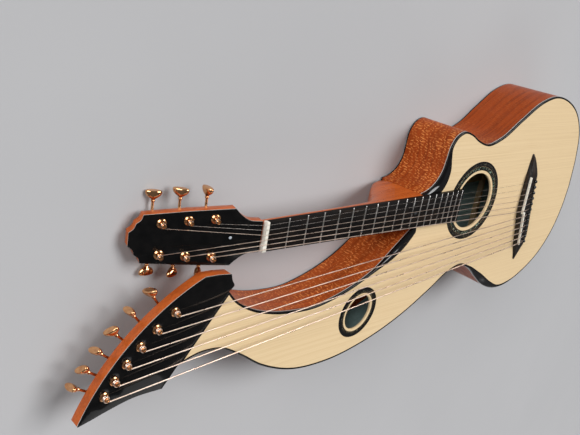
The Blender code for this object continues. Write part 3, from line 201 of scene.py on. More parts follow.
class Shape:
    """A mesh in the making, shaped with bmesh operators.

    Each vertex remembers its rank in the section it was drawn in, and its place along the run.
    """

    WELD = 0.000002

    def __init__(self) -> None:
        """Start an empty mesh."""
        self.bm = bmesh.new()
        self.rank = self.bm.verts.layers.int.new("rank")
        self.along = self.bm.verts.layers.float.new("along")

    def run(self, points: Iterable[Sequence[float]], closed: bool = True) -> list[bmesh.types.BMEdge]:
        """Draw a section: a few vertices joined in order.

        Args:
            points: places of the vertices.
            closed: whether the last joins the first.

        Returns:
            The section's edges.
        """
        verts = []
        for k, point in enumerate(points):
            vert = self.bm.verts.new(point)
            vert[self.rank] = k
            verts.append(vert)
        ends = verts[1:] + verts[:1] if closed else verts[1:]
        return [self.bm.edges.new(pair) for pair in zip(verts, ends)]

    def extend(self, edges: list, points: Points, along: float = 0.0) -> list:
        """Extrude a section's edges and move them to the next section.

        Args:
            edges: the section's edges.
            points: the next section's places, by rank.
            along: the next section's place along the run.

        Returns:
            The next section's edges.
        """
        grown = bmesh.ops.extrude_edge_only(self.bm, edges=edges)["geom"]
        for item in grown:
            if isinstance(item, bmesh.types.BMVert):
                item.co = points[item[self.rank]]
                item[self.along] = along
        return [item for item in grown if isinstance(item, bmesh.types.BMEdge)]

    def fill(self, edges: list) -> list:
        """Fill one or more flat loops, holes among them.

        Args:
            edges: the loops' edges.

        Returns:
            The new faces.
        """
        made = bmesh.ops.triangle_fill(self.bm, edges=edges, use_beauty=True, use_dissolve=False)["geom"]
        return [item for item in made if isinstance(item, bmesh.types.BMFace)]

    def loft(self, sections: Sequence, closed: bool = False, along: Sequence[float] | None = None) -> None:
        """Draw a skin over closed sections, capped at both ends unless it closes on itself.

        Args:
            sections: lists of points with the same count.
            closed: whether the last section joins the first.
            along: place of each section along the run.
        """
        places = [0.0] * len(sections) if along is None else along
        first = edges = self.run(sections[0])
        for section, place in zip(sections[1:], places[1:]):
            edges = self.extend(edges, section, place)
        if closed:
            self.extend(edges, sections[0], places[-1])
        else:
            self.fill(first)
            self.fill(edges)

    def plate(self, outline: Iterable, low: float, high: float, holes: Sequence = ()) -> None:
        """Draw a flat plate between two levels.

        Args:
            outline: points of its edge.
            low: height of its underside.
            high: height of its top.
            holes: points of the edge of each hole.
        """
        edges = [edge for loop in (outline, *holes) for edge in self.run(at_height(loop, high))]
        faces = self.fill(edges)
        grown = bmesh.ops.extrude_face_region(self.bm, geom=faces)["geom"]
        verts = [item for item in grown if isinstance(item, bmesh.types.BMVert)]
        bmesh.ops.translate(self.bm, verts=verts, vec=(0.0, 0.0, low - high))

    def lathe(self, profile: Points, steps: int = 32, closed: bool = False) -> None:
        """Turn a profile about Z.

        Args:
            profile: points of (radius, height).
            steps: number of steps in the turn.
            closed: whether the profile's last point joins its first.
        """
        bmesh.ops.spin(self.bm, geom=self.profile(profile, closed), cent=(0, 0, 0), axis=(0, 0, 1),
                       angle=2 * math.pi, steps=steps, use_merge=True)

    def thread(self, profile: Points, turns: float, lead: float, steps: int) -> None:
        """Turn a closed profile about Z along a helix and close its ends.

        Args:
            profile: points of (radius, height) at the start.
            turns: number of turns.
            lead: rise in one turn.
            steps: number of steps in one turn.
        """
        count = round(turns * steps)
        bmesh.ops.spin(self.bm, geom=self.profile(profile, True), cent=(0, 0, 0), axis=(0, 0, 1),
                       angle=2 * math.pi * turns, dvec=(0, 0, lead * turns / count), steps=count)
        open_edges = [edge for edge in self.bm.edges if edge.is_boundary]
        bmesh.ops.holes_fill(self.bm, edges=open_edges, sides=0)

    def profile(self, points: Points, closed: bool) -> list:
        """Draw a profile of (radius, height) and return its vertices and edges."""
        edges = self.run([(radius, 0.0, height) for radius, height in points], closed)
        return list({vert for edge in edges for vert in edge.verts}) + edges

    def tube(self, path: Sequence[Vector], radius: float, sides: int) -> None:
        """Draw a round tube along a path, with its length kept for the UV map.

        Args:
            path: points that its middle goes through.
            radius: its radius.
            sides: number of sides.
        """
        ways = [(b - a).normalized() for a, b in zip(path, path[1:])]
        side = ways[0].orthogonal().normalized()
        sections, places, place = [], [], 0.0
        for i, point in enumerate(path):
            before, after = ways[max(0, i - 1)], ways[min(i, len(ways) - 1)]
            ahead = (before + after).normalized()
            side = (side - ahead * side.dot(ahead)).normalized()
            over = ahead.cross(side)
            sections.append([point + (side * math.cos(a) + over * math.sin(a)) * radius
                             for a in (2 * math.pi * k / sides for k in range(sides))])
            place += (point - path[i - 1]).length if i else 0.0
            places.append(place)
        self.loft(sections, along=places)

    def tidy(self) -> None:
        """Merge doubles and turn the faces outward."""
        bmesh.ops.remove_doubles(self.bm, verts=self.bm.verts, dist=self.WELD)
        bmesh.ops.dissolve_degenerate(self.bm, dist=self.WELD, edges=self.bm.edges)
        bmesh.ops.recalc_face_normals(self.bm, faces=self.bm.faces)
        if self.bm.calc_volume(signed=True) < 0.0:
            bmesh.ops.reverse_faces(self.bm, faces=self.bm.faces)

    def ease(self, width: float, segments: int = 2, angle: float = 40.0) -> "Shape":
        """Round the sharp edges.

        Args:
            width: width of the rounding.
            segments: steps across it.
            angle: turn, in degrees, from which an edge counts as sharp.

        Returns:
            This shape.
        """
        self.tidy()
        sharp = [edge for edge in self.bm.edges
                 if len(edge.link_faces) == 2 and edge.calc_face_angle(0.0) > math.radians(angle)]
        bmesh.ops.bevel(self.bm, geom=sharp, offset=width, offset_type="OFFSET", segments=segments,
                        profile=0.5, affect="EDGES", material=-1, clamp_overlap=True)
        return self

    def paint(self, ranks: tuple[int, int], index: int) -> None:
        """Give the faces between two ranks of a loft's sections another material.

        Args:
            ranks: the two ranks.
            index: the material that the faces get.
        """
        for face in self.bm.faces:
            if len(face.verts) == 4 and {vert[self.rank] for vert in face.verts} == set(ranks):
                face.material_index = index

    def cap(self, level: float, index: int) -> None:
        """Cut the faces at a level and give those below another material.

        Args:
            level: height of the cut.
            index: the material that the lower faces get.
        """
        everything = list(self.bm.verts) + list(self.bm.edges) + list(self.bm.faces)
        bmesh.ops.bisect_plane(self.bm, geom=everything, dist=self.WELD, plane_co=(0, 0, level),
                               plane_no=(0, 0, 1))
        for face in self.bm.faces:
            if face.calc_center_median().z < level:
                face.material_index = index

    def add(self, other: "Shape", matrix: Matrix = Matrix(), index: int = 0) -> None:
        """Take in a finished shape.

        Args:
            other: the shape, which can't be used afterwards.
            matrix: its place.
            index: the material that it gets.
        """
        part = other.mesh("part")
        part.transform(matrix)
        part.polygons.foreach_set("material_index", [index] * len(part.polygons))
        self.bm.from_mesh(part)
        bpy.data.meshes.remove(part)

    def mesh(self, name: str, crease: float = 35.0, mapped: bool = False) -> bpy.types.Mesh:
        """Return the finished mesh and free the bmesh.

        Args:
            name: the mesh's name.
            crease: turn, in degrees, from which an edge shows sharp.
            mapped: whether it gets the UV map "grain", of place along the run and height.

        Returns:
            The mesh.
        """
        self.tidy()
        if mapped:
            layer = self.bm.loops.layers.uv.new("grain")
            for face in self.bm.faces:
                for corner in face.loops:
                    corner[layer].uv = (corner.vert[self.along], corner.vert.co.z)
        made = bpy.data.meshes.new(name)
        self.bm.to_mesh(made)
        self.bm.free()
        for key in ("rank", "along"):
            if key in made.attributes:
                made.attributes.remove(made.attributes[key])
        made.shade_smooth()
        made.set_sharp_from_angle(angle=math.radians(crease))
        return made


# Materials

class Network:
    """A node tree in the making."""

    def __init__(self, tree: Tree) -> None:
        """Take over a tree."""
        self.tree = tree

    def node(self, kind: str, feeds: dict, **settings: object) -> bpy.types.Node:
        """Add a node.

        Args:
            kind: the node's type.
            feeds: value or output for each of its inputs, by name or index.
            settings: its properties.

        Returns:
            The node.
        """
        made = self.tree.nodes.new(kind)
        for key, value in settings.items():
            setattr(made, key, value)
        for key, value in feeds.items():
            self.feed(made.inputs[key], value)
        return made

    def feed(self, socket: Socket, value: object) -> None:
        """Link an output to a socket, or set the socket's own value.

        Args:
            socket: the socket.
            value: the output or the value.
        """
        if isinstance(value, Socket):
            self.tree.links.new(value, socket)
        else:
            socket.default_value = value

    def place(self) -> Socket:
        """Return the Object coordinates."""
        return self.node("ShaderNodeTexCoord", {}).outputs["Object"]

    def grain_map(self) -> Socket:
        """Return the piece's own UV map."""
        return self.node("ShaderNodeUVMap", {}, uv_map="grain").outputs["UV"]

    def sum(self, kind: str, a: object, b: object) -> Socket:
        """Return the result of a Math node."""
        return self.node("ShaderNodeMath", {0: a, 1: b}, operation=kind).outputs[0]

    def vector(self, kind: str, a: object, b: object) -> Socket:
        """Return the result of a Vector Math node."""
        return self.node("ShaderNodeVectorMath", {0: a, 1: b}, operation=kind).outputs[0]

    def combine(self, x: object, y: object, z: object) -> Socket:
        """Return a vector of three values."""
        return self.node("ShaderNodeCombineXYZ", {0: x, 1: y, 2: z}).outputs[0]

    def noise(self, vector: object, scale: object, detail: float = 2.0, roughness: float = 0.5,
              distortion: float = 0.0, colour: bool = False) -> Socket:
        """Return a noise pattern.

        Args:
            vector: place that it is read at.
            scale: its scale.
            detail: its octaves.
            roughness: weight of the finer octaves.
            distortion: how far it is bent.
            colour: whether its colour is wanted in place of its value.

        Returns:
            The value or colour.
        """
        made = self.node("ShaderNodeTexNoise", {"Vector": vector, "Scale": scale, "Detail": detail,
                                                "Roughness": roughness, "Distortion": distortion})
        return made.outputs[1 if colour else 0]

    def spread(self, value: object, low: float, high: float, to_low: object = 0.0,
               to_high: object = 1.0) -> Socket:
        """Return a value's smooth step from one range to another.

        Args:
            value: the value.
            low: value that gives to_low.
            high: value that gives to_high.
            to_low: lowest result.
            to_high: highest result.

        Returns:
            The result.
        """
        made = self.node("ShaderNodeMapRange", {"Value": value, "From Min": low, "From Max": high,
                                                "To Min": to_low, "To Max": to_high},
                         interpolation_type="SMOOTHSTEP")
        return made.outputs[0]

    def mix(self, share: object, a: object, b: object) -> Socket:
        """Return a mix of two colours.

        Args:
            share: share of the second.
            a: the first, a colour or an output.
            b: the second.

        Returns:
            The mixed colour.
        """
        a, b = [(*c, 1.0) if isinstance(c, tuple) else c for c in (a, b)]
        return self.node("ShaderNodeMix", {0: share, 6: a, 7: b}, data_type="RGBA").outputs[2]

    def ramp(self, value: object, stops: Sequence[tuple[float, Colour]]) -> Socket:
        """Return a colour from a ramp.

        Args:
            value: place on the ramp.
            stops: places and colours.

        Returns:
            The colour.
        """
        made = self.node("ShaderNodeValToRGB", {"Fac": value})
        elements = made.color_ramp.elements
        while len(elements) < len(stops):
            elements.new(0.5)
        for element, (place, colour) in zip(elements, stops):
            element.position = place
            element.color = (*colour, 1.0)
        return made.outputs["Color"]

    def bump(self, height: object, distance: float, strength: float) -> Socket:
        """Return the normal of a relief."""
        return self.node("ShaderNodeBump", {"Height": height, "Distance": distance,
                                            "Strength": strength}).outputs[0]

    def group(self, tree: Tree, feeds: dict) -> Outputs:
        """Place a node group and return its outputs."""
        return self.node("ShaderNodeGroup", feeds, node_tree=tree).outputs

    def grain(self, place: object, sizes: Triple) -> Outputs:
        """Place the effect of long grain.

        Args:
            place: place that it is read at.
            sizes: its scale along the grain and across it, and how far it wavers.

        Returns:
            The group's outputs.
        """
        along, across, waver = sizes
        return self.group(Effect.LONG_GRAIN.tree(), {"Vector": place, "Along": along, "Across": across,
                                                     "Waver": waver})


class Effect(Enum):
    """Shared effects, each a node group."""

    LONG_GRAIN = "long_grain"
    RIPPLE = "ripple"
    MOTTLE = "mottle"

    def tree(self) -> Tree:
        """Return the effect's node group, made at its first use."""
        found = bpy.data.node_groups.get(self.value)
        return found if found else EFFECTS[self]()


class GroupMaker:
    """A node group with named inputs and outputs, in the making."""

    def __init__(self, effect: Effect, inputs: dict[str, float | None], outputs: Sequence[str]) -> None:
        """Start the group.

        Args:
            effect: the effect it is for.
            inputs: name and first value of each input, None for a vector.
            outputs: name of each output value.
        """
        self.tree = bpy.data.node_groups.new(effect.value, "ShaderNodeTree")
        for name, value in inputs.items():
            kind = "NodeSocketVector" if value is None else "NodeSocketFloat"
            socket = self.tree.interface.new_socket(name, in_out="INPUT", socket_type=kind)
            if value is not None:
                socket.default_value = value
        for name in outputs:
            self.tree.interface.new_socket(name, in_out="OUTPUT", socket_type="NodeSocketFloat")
        self.net = Network(self.tree)
        self.entry = self.tree.nodes.new("NodeGroupInput").outputs
        self.leave = self.tree.nodes.new("NodeGroupOutput").inputs


def long_grain() -> Tree:
    """Build the effect of wood grain along X: broad bands, fine lines and short pores.

    Returns:
        The node group.
    """
    made = GroupMaker(Effect.LONG_GRAIN, {"Vector": None, "Along": 3.0, "Across": 200.0, "Waver": 0.002},
                      ("Bands", "Lines", "Pores"))
    net, entry = made.net, made.entry
    sway = net.sum("SUBTRACT", net.noise(entry["Vector"], 6.0, 2.0), 0.5)
    shift = net.sum("MULTIPLY", sway, entry["Waver"])
    swayed = net.vector("ADD", entry["Vector"], net.combine(0.0, shift, shift))
    scaled = net.vector("MULTIPLY", swayed, net.combine(entry["Along"], entry["Across"], entry["Across"]))
    net.feed(made.leave["Bands"], net.spread(net.noise(scaled, 0.25, 3.0, 0.55), 0.3, 0.7))
    net.feed(made.leave["Lines"], net.spread(net.noise(scaled, 1.0, 4.0, 0.6), 0.3, 0.7))
    dashes = net.noise(net.vector("MULTIPLY", scaled, (14.0, 3.0, 3.0)), 1.0, 1.0)
    net.feed(made.leave["Pores"], net.spread(dashes, 0.60, 0.72))
    return made.tree


def ripple() -> Tree:
    """Build the effect of figured wood: two crossing trains of bent waves that leave short soft strokes.

    Returns:
        The node group.
    """
    made = GroupMaker(Effect.RIPPLE, {"Vector": None, "Along": 200.0, "Across": 45.0, "Warp": 7.0},
                      ("Strokes", "Glow"))
    net, entry = made.net, made.entry
    place = net.node("ShaderNodeSeparateXYZ", {0: entry["Vector"]}).outputs
    run = net.sum("MULTIPLY", net.sum("MULTIPLY", place[0], entry["Along"]), 2 * math.pi)
    rise = net.sum("MULTIPLY", net.sum("MULTIPLY", place[1], entry["Across"]), 2 * math.pi)
    bend = net.node("ShaderNodeSeparateXYZ", {0: net.noise(entry["Vector"], 75.0, 2.0, colour=True)}).outputs
    trains = []
    for share, way, axis in ((1.0, 1.0, 0), (0.83, -1.2, 1)):
        phase = net.sum("ADD", net.sum("MULTIPLY", run, share), net.sum("MULTIPLY", rise, way))
        warp = net.sum("MULTIPLY", bend[axis], net.sum("MULTIPLY", entry["Warp"], 2.0))
        phase = net.sum("ADD", phase, warp)
        trains.append(net.sum("SINE", phase, 0.0))
    cross = net.sum("ADD", net.sum("MULTIPLY", trains[0], trains[1]), net.sum("MULTIPLY", trains[0], 0.45))
    net.feed(made.leave["Strokes"], net.spread(cross, -0.15, 1.15))
    broad = net.noise(entry["Vector"], 28.0, 2.0)
    net.feed(made.leave["Glow"], net.spread(broad, 0.35, 0.65))
    return made.tree


def mottle() -> Tree:
    """Build the effect of a surface that isn't equally smooth all over.

    Returns:
        The node group.
    """
    made = GroupMaker(Effect.MOTTLE, {"Vector": None, "Scale": 40.0, "Low": 0.2, "High": 0.3}, ("Value",))
    net, entry = made.net, made.entry
    cloud = net.noise(entry["Vector"], entry["Scale"], 4.0, 0.6)
    net.feed(made.leave["Value"], net.spread(cloud, 0.3, 0.7, entry["Low"], entry["High"]))
    return made.tree


EFFECTS = {Effect.LONG_GRAIN: long_grain, Effect.RIPPLE: ripple, Effect.MOTTLE: mottle}


@dataclass(frozen=True)
class Finish:
    """A finish of the object's surface.

    Attributes:
        name: the material's name.
        slot: the record's material slot, empty where it has none; not used.
        gloss: lowest and highest roughness.
        cloud: scale of the change of roughness.
        coat: weight of the clear coat.
        coat_gloss: roughness of the clear coat.
        shine: level of the plain reflection under the coat.
        metal: whether it is metal.
        relief: depth and strength of the relief.
    """

    name: str
    slot: str = ""
    gloss: Pair = (0.25, 0.40)
    cloud: float = 60.0
    coat: float = 0.0
    coat_gloss: float = 0.05
    shine: float = 0.3
    metal: bool = False
    relief: Pair = (0.00003, 0.4)

    def material(self) -> bpy.types.Material:
        """Return the finish's material, made at its first use.

        Returns:
            The material.
        """
        found = bpy.data.materials.get(f"finish_{self.name}")
        if found:
            return found
        made = bpy.data.materials.new(f"finish_{self.name}")
        made.use_nodes = True
        net = Network(made.node_tree)
        shader = made.node_tree.nodes["Principled BSDF"].inputs
        shader["Metallic"].default_value = float(self.metal)
        shader["Coat Weight"].default_value = self.coat
        shader["Coat Roughness"].default_value = self.coat_gloss
        shader["Specular IOR Level"].default_value = self.shine
        low, high = self.gloss
        rough = net.group(Effect.MOTTLE.tree(), {"Vector": net.place(), "Scale": self.cloud, "Low": low,
                                                 "High": high})
        net.feed(shader["Roughness"], rough["Value"])
        self.dress(net, shader)
        return made

    def dress(self, net: Network, shader: Inputs) -> None:
        """Feed the shader's colour and relief.

        Args:
            net: the material's nodes.
            shader: inputs of its Principled BSDF.
        """
        raise NotImplementedError


@dataclass(frozen=True)
class Spruce(Finish):
    """Pale top wood with fine straight grain, matched about the middle.

    Attributes:
        pale: colour of the early wood.
        warm: colour of the broad darker bands.
        line: colour of the late wood's lines.
        grain: scale along the grain and across it, and how far it wavers.
        lined: strength of the lines.
    """

    pale: Colour = (0.770, 0.590, 0.355)
    warm: Colour = (0.738, 0.555, 0.325)
    line: Colour = (0.560, 0.375, 0.185)
    grain: Triple = (1.2, 900.0, 0.002)
    lined: float = 0.34
    relief: Pair = (0.00004, 0.5)

    def dress(self, net: Network, shader: Inputs) -> None:
        """Feed the grain's colour and a faint relief.

        Args:
            net: the material's nodes.
            shader: inputs of its Principled BSDF.
        """
        place = net.node("ShaderNodeSeparateXYZ", {0: net.place()}).outputs
        folded = net.combine(place[0], net.sum("ABSOLUTE", place[1], 0.0), 0.0)
        grain = net.grain(folded, self.grain)
        body = net.mix(grain["Bands"], self.pale, self.warm)
        lines = net.sum("MULTIPLY", net.spread(grain["Lines"], 0.45, 1.0), self.lined)
        net.feed(shader["Base Color"], net.mix(lines, body, self.line))
        net.feed(shader["Normal"], net.bump(grain["Lines"], *self.relief))


class WoodMap(Enum):
    """Where a wood reads its grain."""

    PLACE = "place"
    RUN = "run"


@dataclass(frozen=True)
class Mahogany(Finish):
    """Orange-red hardwood under gloss, plain or with a ripple figure.

    Attributes:
        dark: colour of the deep streaks.
        body: colour of the wood.
        bright: colour of the strokes that catch the light.
        figure: strength of the ripples.
        strokes: ripples in one metre along the grain and across it.
        bend: how far the ripples are bent, in radians.
        fade: places along the run between which the figure fades out.
        faded: share of the figure that is left past them.
        wood_map: what the grain follows.
        grain: scale along the grain and across it, and how far it wavers.
        streaked: strength of the streaks and of the lines.
        pored: strength of the pores.
        dim: share of the figure's strength where it glows least.
    """

    dark: Colour = (0.150, 0.024, 0.006)
    body: Colour = (0.330, 0.056, 0.009)
    bright: Colour = (0.80, 0.270, 0.070)
    figure: float = 0.0
    strokes: Pair = (200.0, 45.0)
    bend: float = 7.0
    fade: Pair | None = None
    faded: float = 0.12
    wood_map: WoodMap = WoodMap.PLACE
    grain: Triple = (6.0, 420.0, 0.012)
    streaked: float = 0.40
    pored: float = 0.35
    dim: float = 0.40
    relief: Pair = (0.00005, 0.5)

    def dress(self, net: Network, shader: Inputs) -> None:
        """Feed the grain's colour, with the ripples where it has a figure.

        Args:
            net: the material's nodes.
            shader: inputs of its Principled BSDF.
        """
        place = net.grain_map() if self.wood_map is WoodMap.RUN else net.place()
        grain = net.grain(place, self.grain)
        streaks = net.sum("MULTIPLY", net.spread(grain["Bands"], 0.25, 1.0), self.streaked)
        colour = net.mix(streaks, self.body, self.dark)
        lines = net.sum("MULTIPLY", net.spread(grain["Lines"], 0.5, 1.0), self.streaked)
        colour = net.mix(lines, colour, self.dark)
        height = grain["Lines"]
        if self.figure:
            ripples = net.group(Effect.RIPPLE.tree(), {"Vector": place, "Along": self.strokes[0],
                                                       "Across": self.strokes[1], "Warp": self.bend})
            glow = net.spread(ripples["Glow"], 0.0, 1.0, self.dim * self.figure, self.figure)
            if self.fade:
                run = net.node("ShaderNodeSeparateXYZ", {0: place}).outputs[0]
                glow = net.sum("MULTIPLY", glow, net.spread(run, *self.fade, 1.0, self.faded))
            colour = net.mix(net.sum("MULTIPLY", ripples["Strokes"], glow), colour, self.bright)
            height = ripples["Strokes"]
        colour = net.mix(net.sum("MULTIPLY", grain["Pores"], self.pored), colour, self.dark)
        net.feed(shader["Base Color"], colour)
        net.feed(shader["Normal"], net.bump(height, *self.relief))


@dataclass(frozen=True)
class BlackWood(Finish):
    """Near-black hardwood with brown streaks and open pores.

    Attributes:
        dark: colour of the wood.
        brown: colour of its streaks.
        across: whether the grain runs across the instrument.
        grain: scale along the grain and across it, and how far it wavers.
    """

    dark: Colour = (0.0060, 0.0052, 0.0050)
    brown: Colour = (0.034, 0.018, 0.010)
    across: bool = False
    grain: Triple = (9.0, 380.0, 0.004)
    relief: Pair = (0.00004, 0.35)

    def dress(self, net: Network, shader: Inputs) -> None:
        """Feed the streaks' colour and the pores' relief.

        Args:
            net: the material's nodes.
            shader: inputs of its Principled BSDF.
        """
        place = net.place()
        if self.across:
            turned = net.node("ShaderNodeMapping", {"Vector": place, "Rotation": (0.0, 0.0, math.pi / 2)})
            place = turned.outputs[0]
        grain = net.grain(place, self.grain)
        streaks = net.sum("MULTIPLY", grain["Bands"], net.spread(grain["Lines"], 0.35, 0.9))
        net.feed(shader["Base Color"], net.mix(streaks, self.dark, self.brown))
        net.feed(shader["Normal"], net.bump(net.sum("SUBTRACT", 1.0, grain["Pores"]), *self.relief))


@dataclass(frozen=True)
class Clouded(Finish):
    """A plain colour that changes in faint clouds, with a fine relief.

    Attributes:
        colour: its colour.
        clouded: its colour in the clouds.
        blotch: scale, octaves and roughness of the clouds.
        edges: values between which a cloud sets in.
        relief_scale: scale of the relief, 0 for a flat surface.
    """

    colour: Colour = (0.0022, 0.0022, 0.0024)
    clouded: Colour = (0.0045, 0.0042, 0.0042)
    blotch: Triple = (90.0, 3.0, 0.5)
    edges: Pair = (0.3, 0.7)
    relief_scale: float = 120.0

    def dress(self, net: Network, shader: Inputs) -> None:
        """Feed the clouded colour and the relief.

        Args:
            net: the material's nodes.
            shader: inputs of its Principled BSDF.
        """
        place = net.place()
        cloud = net.spread(net.noise(place, *self.blotch), *self.edges)
        net.feed(shader["Base Color"], net.mix(cloud, self.colour, self.clouded))
        if self.relief_scale:
            net.feed(shader["Normal"], net.bump(net.noise(place, self.relief_scale), *self.relief))


@dataclass(frozen=True)
class WoundWire(Clouded):
    """Round wire wound on a core.

    Attributes:
        pitch: distance from one turn of the winding to the next.
        dulled: strength of the dull clouds.
    """

    pitch: float = 0.00055
    dulled: float = 0.6
    blotch: Triple = (45.0, 3.0, 0.5)
    edges: Pair = (0.35, 0.75)
    relief: Pair = (0.00002, 0.15)

    def dress(self, net: Network, shader: Inputs) -> None:
        """Feed the colour and the winding's relief.

        Args:
            net: the material's nodes.
            shader: inputs of its Principled BSDF.
        """
        along = net.node("ShaderNodeSeparateXYZ", {0: net.grain_map()}).outputs[0]
        phase = net.sum("MULTIPLY", along, 2 * math.pi / self.pitch)
        coil = net.sum("MULTIPLY", net.sum("ADD", net.sum("SINE", phase, 0.0), 1.0), 0.5)
        dull = net.spread(net.noise(net.place(), *self.blotch), *self.edges)
        shade = net.mix(net.sum("MULTIPLY", dull, self.dulled), self.colour, self.clouded)
        net.feed(shader["Base Color"], net.mix(net.spread(coil, -0.6, 0.3), self.clouded, shade))
        net.feed(shader["Normal"], net.bump(coil, *self.relief))


@dataclass(frozen=True)
class Shell(Finish):
    """Dark shell set in small pieces that glint in different colours.

    Attributes:
        stops: places and colours of its ramp.
        cells: pieces in one metre.
        waves: waves in one metre.
        shares: share of a piece's own value and of its waves.
    """

    stops: tuple[tuple[float, Colour], ...] = (
        (0.0, (0.004, 0.005, 0.005)), (0.48, (0.009, 0.012, 0.010)), (0.62, (0.030, 0.060, 0.036)),
        (0.70, (0.110, 0.050, 0.024)), (0.77, (0.012, 0.018, 0.020)), (0.86, (0.22, 0.34, 0.24)),
        (1.0, (0.72, 0.70, 0.60)))
    cells: float = 520.0
    waves: float = 1500.0
    shares: Pair = (0.8, 0.24)

    def dress(self, net: Network, shader: Inputs) -> None:
        """Feed each piece's colour, with waves in it.

        Args:
            net: the material's nodes.
            shader: inputs of its Principled BSDF.
        """
        place = net.place()
        cell = net.node("ShaderNodeTexVoronoi", {"Vector": place, "Scale": self.cells})
        chance = net.node("ShaderNodeSeparateXYZ", {0: cell.outputs["Color"]}).outputs[0]
        wave = net.noise(place, self.waves, distortion=1.5)
        value = net.sum("ADD", net.sum("MULTIPLY", chance, self.shares[0]),
                        net.sum("MULTIPLY", wave, self.shares[1]))
        net.feed(shader["Base Color"], net.ramp(value, self.stops))
        net.feed(shader["Normal"], net.bump(cell.outputs["Distance"], *self.relief))


@dataclass(frozen=True)
class Bone(Finish):
    """Off-white bone or shell with faint clouds and growth lines.

    Attributes:
        pale: its colour.
        warm: its colour in the clouds.
        lines: growth lines in one metre, by axis.
        warmth: strength of the clouds.
    """

    pale: Colour = (0.80, 0.77, 0.69)
    warm: Colour = (0.68, 0.61, 0.48)
    lines: Triple = (900.0, 60.0, 900.0)
    warmth: float = 0.7
    relief: Pair = (0.00002, 0.4)

    def dress(self, net: Network, shader: Inputs) -> None:
        """Feed the clouded colour and a faint relief.

        Args:
            net: the material's nodes.
            shader: inputs of its Principled BSDF.
        """
        place = net.place()
        cloud = net.spread(net.noise(place, 220.0, 4.0, 0.6), 0.4, 0.8)
        lines = net.noise(net.vector("MULTIPLY", place, self.lines), 1.0)
        net.feed(shader["Base Color"], net.mix(net.sum("MULTIPLY", cloud, self.warmth), self.pale, self.warm))
        net.feed(shader["Normal"], net.bump(lines, *self.relief))


SPRUCE_TOP = Spruce("spruce_top", "spruce", gloss=(0.34, 0.46), coat=0.12, coat_gloss=0.16, shine=0.22)
BRACE_WOOD = Spruce("brace_wood", "spruce", gloss=(0.55, 0.70), pale=(0.52, 0.38, 0.21),
                    warm=(0.44, 0.30, 0.15))
BACK_WOOD = Mahogany("back_wood", "mahogany", gloss=(0.30, 0.42), coat=0.10, coat_gloss=0.08, shine=0.05,
                     figure=0.45)
BASS_SIDE = replace(BACK_WOOD, name="bass_side", figure=0.35, wood_map=WoodMap.RUN)
TREBLE_SIDE = replace(BASS_SIDE, name="treble_side", figure=0.90, fade=(0.20, 0.30))
ARM_SIDE = replace(BASS_SIDE, name="arm_side", body=(0.42, 0.076, 0.012), figure=0.90,
                   strokes=(150.0, 40.0), bend=8.0)
INSIDE_WOOD = Mahogany("inside_wood", "mahogany", gloss=(0.55, 0.70), dark=(0.21, 0.30, 0.29),
                       body=(0.31, 0.44, 0.43))
NECK_WOOD = Mahogany("neck_wood", "mahogany", gloss=(0.26, 0.38), coat=0.30, coat_gloss=0.06, shine=0.10,
                     dark=(0.30, 0.052, 0.010), body=(0.52, 0.112, 0.020))
BLOCK_WOOD = Mahogany("block_wood", "mahogany", gloss=(0.5, 0.65), dark=(0.12, 0.035, 0.014),
                      body=(0.22, 0.075, 0.03))
FRETBOARD_WOOD = BlackWood("fretboard_wood", "ebony", gloss=(0.42, 0.56), shine=0.08,
                           dark=(0.0040, 0.0036, 0.0036), brown=(0.016, 0.010, 0.007))
BRIDGE_WOOD = BlackWood("bridge_wood", "ebony", gloss=(0.26, 0.40), shine=0.35, across=True)
FACE_LACQUER = Clouded("face_lacquer", "ebony", gloss=(0.12, 0.20), coat=0.30, coat_gloss=0.03, shine=0.12)
EDGE_BINDING = Clouded("edge_binding", "black_binding", gloss=(0.10, 0.18), coat=0.7, coat_gloss=0.04,
                       shine=0.15)
PIN_BLACK = Clouded("pin_black", "ebony", gloss=(0.16, 0.26), coat=0.5)
PALE_LINE = Bone("pale_line", "bone", gloss=(0.25, 0.35), pale=(0.62, 0.66, 0.62), warm=(0.42, 0.46, 0.42))
SADDLE_BONE = Bone("saddle_bone", "bone", gloss=(0.25, 0.38))
PEARL_DOT = Bone("pearl_dot", "shell_inlay", gloss=(0.12, 0.2), pale=(0.44, 0.48, 0.52),
                 warm=(0.12, 0.16, 0.20))
MARKER_SHELL = replace(PEARL_DOT, name="marker_shell", pale=(0.055, 0.060, 0.065),
                       warm=(0.020, 0.024, 0.028))
GOLD = Clouded("gold", "gold_plate", gloss=(0.10, 0.22), metal=True, colour=(0.88, 0.48, 0.23),
               clouded=(0.60, 0.27, 0.12), blotch=(160.0, 4.0, 0.6), edges=(0.35, 0.75),
               relief_scale=900.0, relief=(0.00001, 0.5))
FRET_METAL = replace(GOLD, name="fret_metal", slot="", gloss=(0.24, 0.38), colour=(0.60, 0.58, 0.56),
                     clouded=(0.46, 0.44, 0.42))
PLAIN_STRING = replace(GOLD, name="plain_string", slot="bronze_string", gloss=(0.22, 0.34),
                       colour=(0.86, 0.78, 0.72), clouded=(0.66, 0.56, 0.50))
WOUND_STRING = WoundWire("wound_string", "bronze_string", gloss=(0.26, 0.40), metal=True,
                         colour=(0.95, 0.76, 0.64), clouded=(0.74, 0.54, 0.42))
SHELL_BRIGHT = Shell("shell_bright", "shell_inlay", gloss=(0.12, 0.24), coat=0.4, shine=0.2)
SHELL_DIM = replace(SHELL_BRIGHT, name="shell_dim", cells=430.0, stops=(
    (0.0, (0.004, 0.004, 0.004)), (0.55, (0.010, 0.009, 0.007)), (0.68, (0.034, 0.026, 0.015)),
    (0.78, (0.014, 0.014, 0.010)), (0.90, (0.060, 0.062, 0.040)), (1.0, (0.22, 0.21, 0.15))))
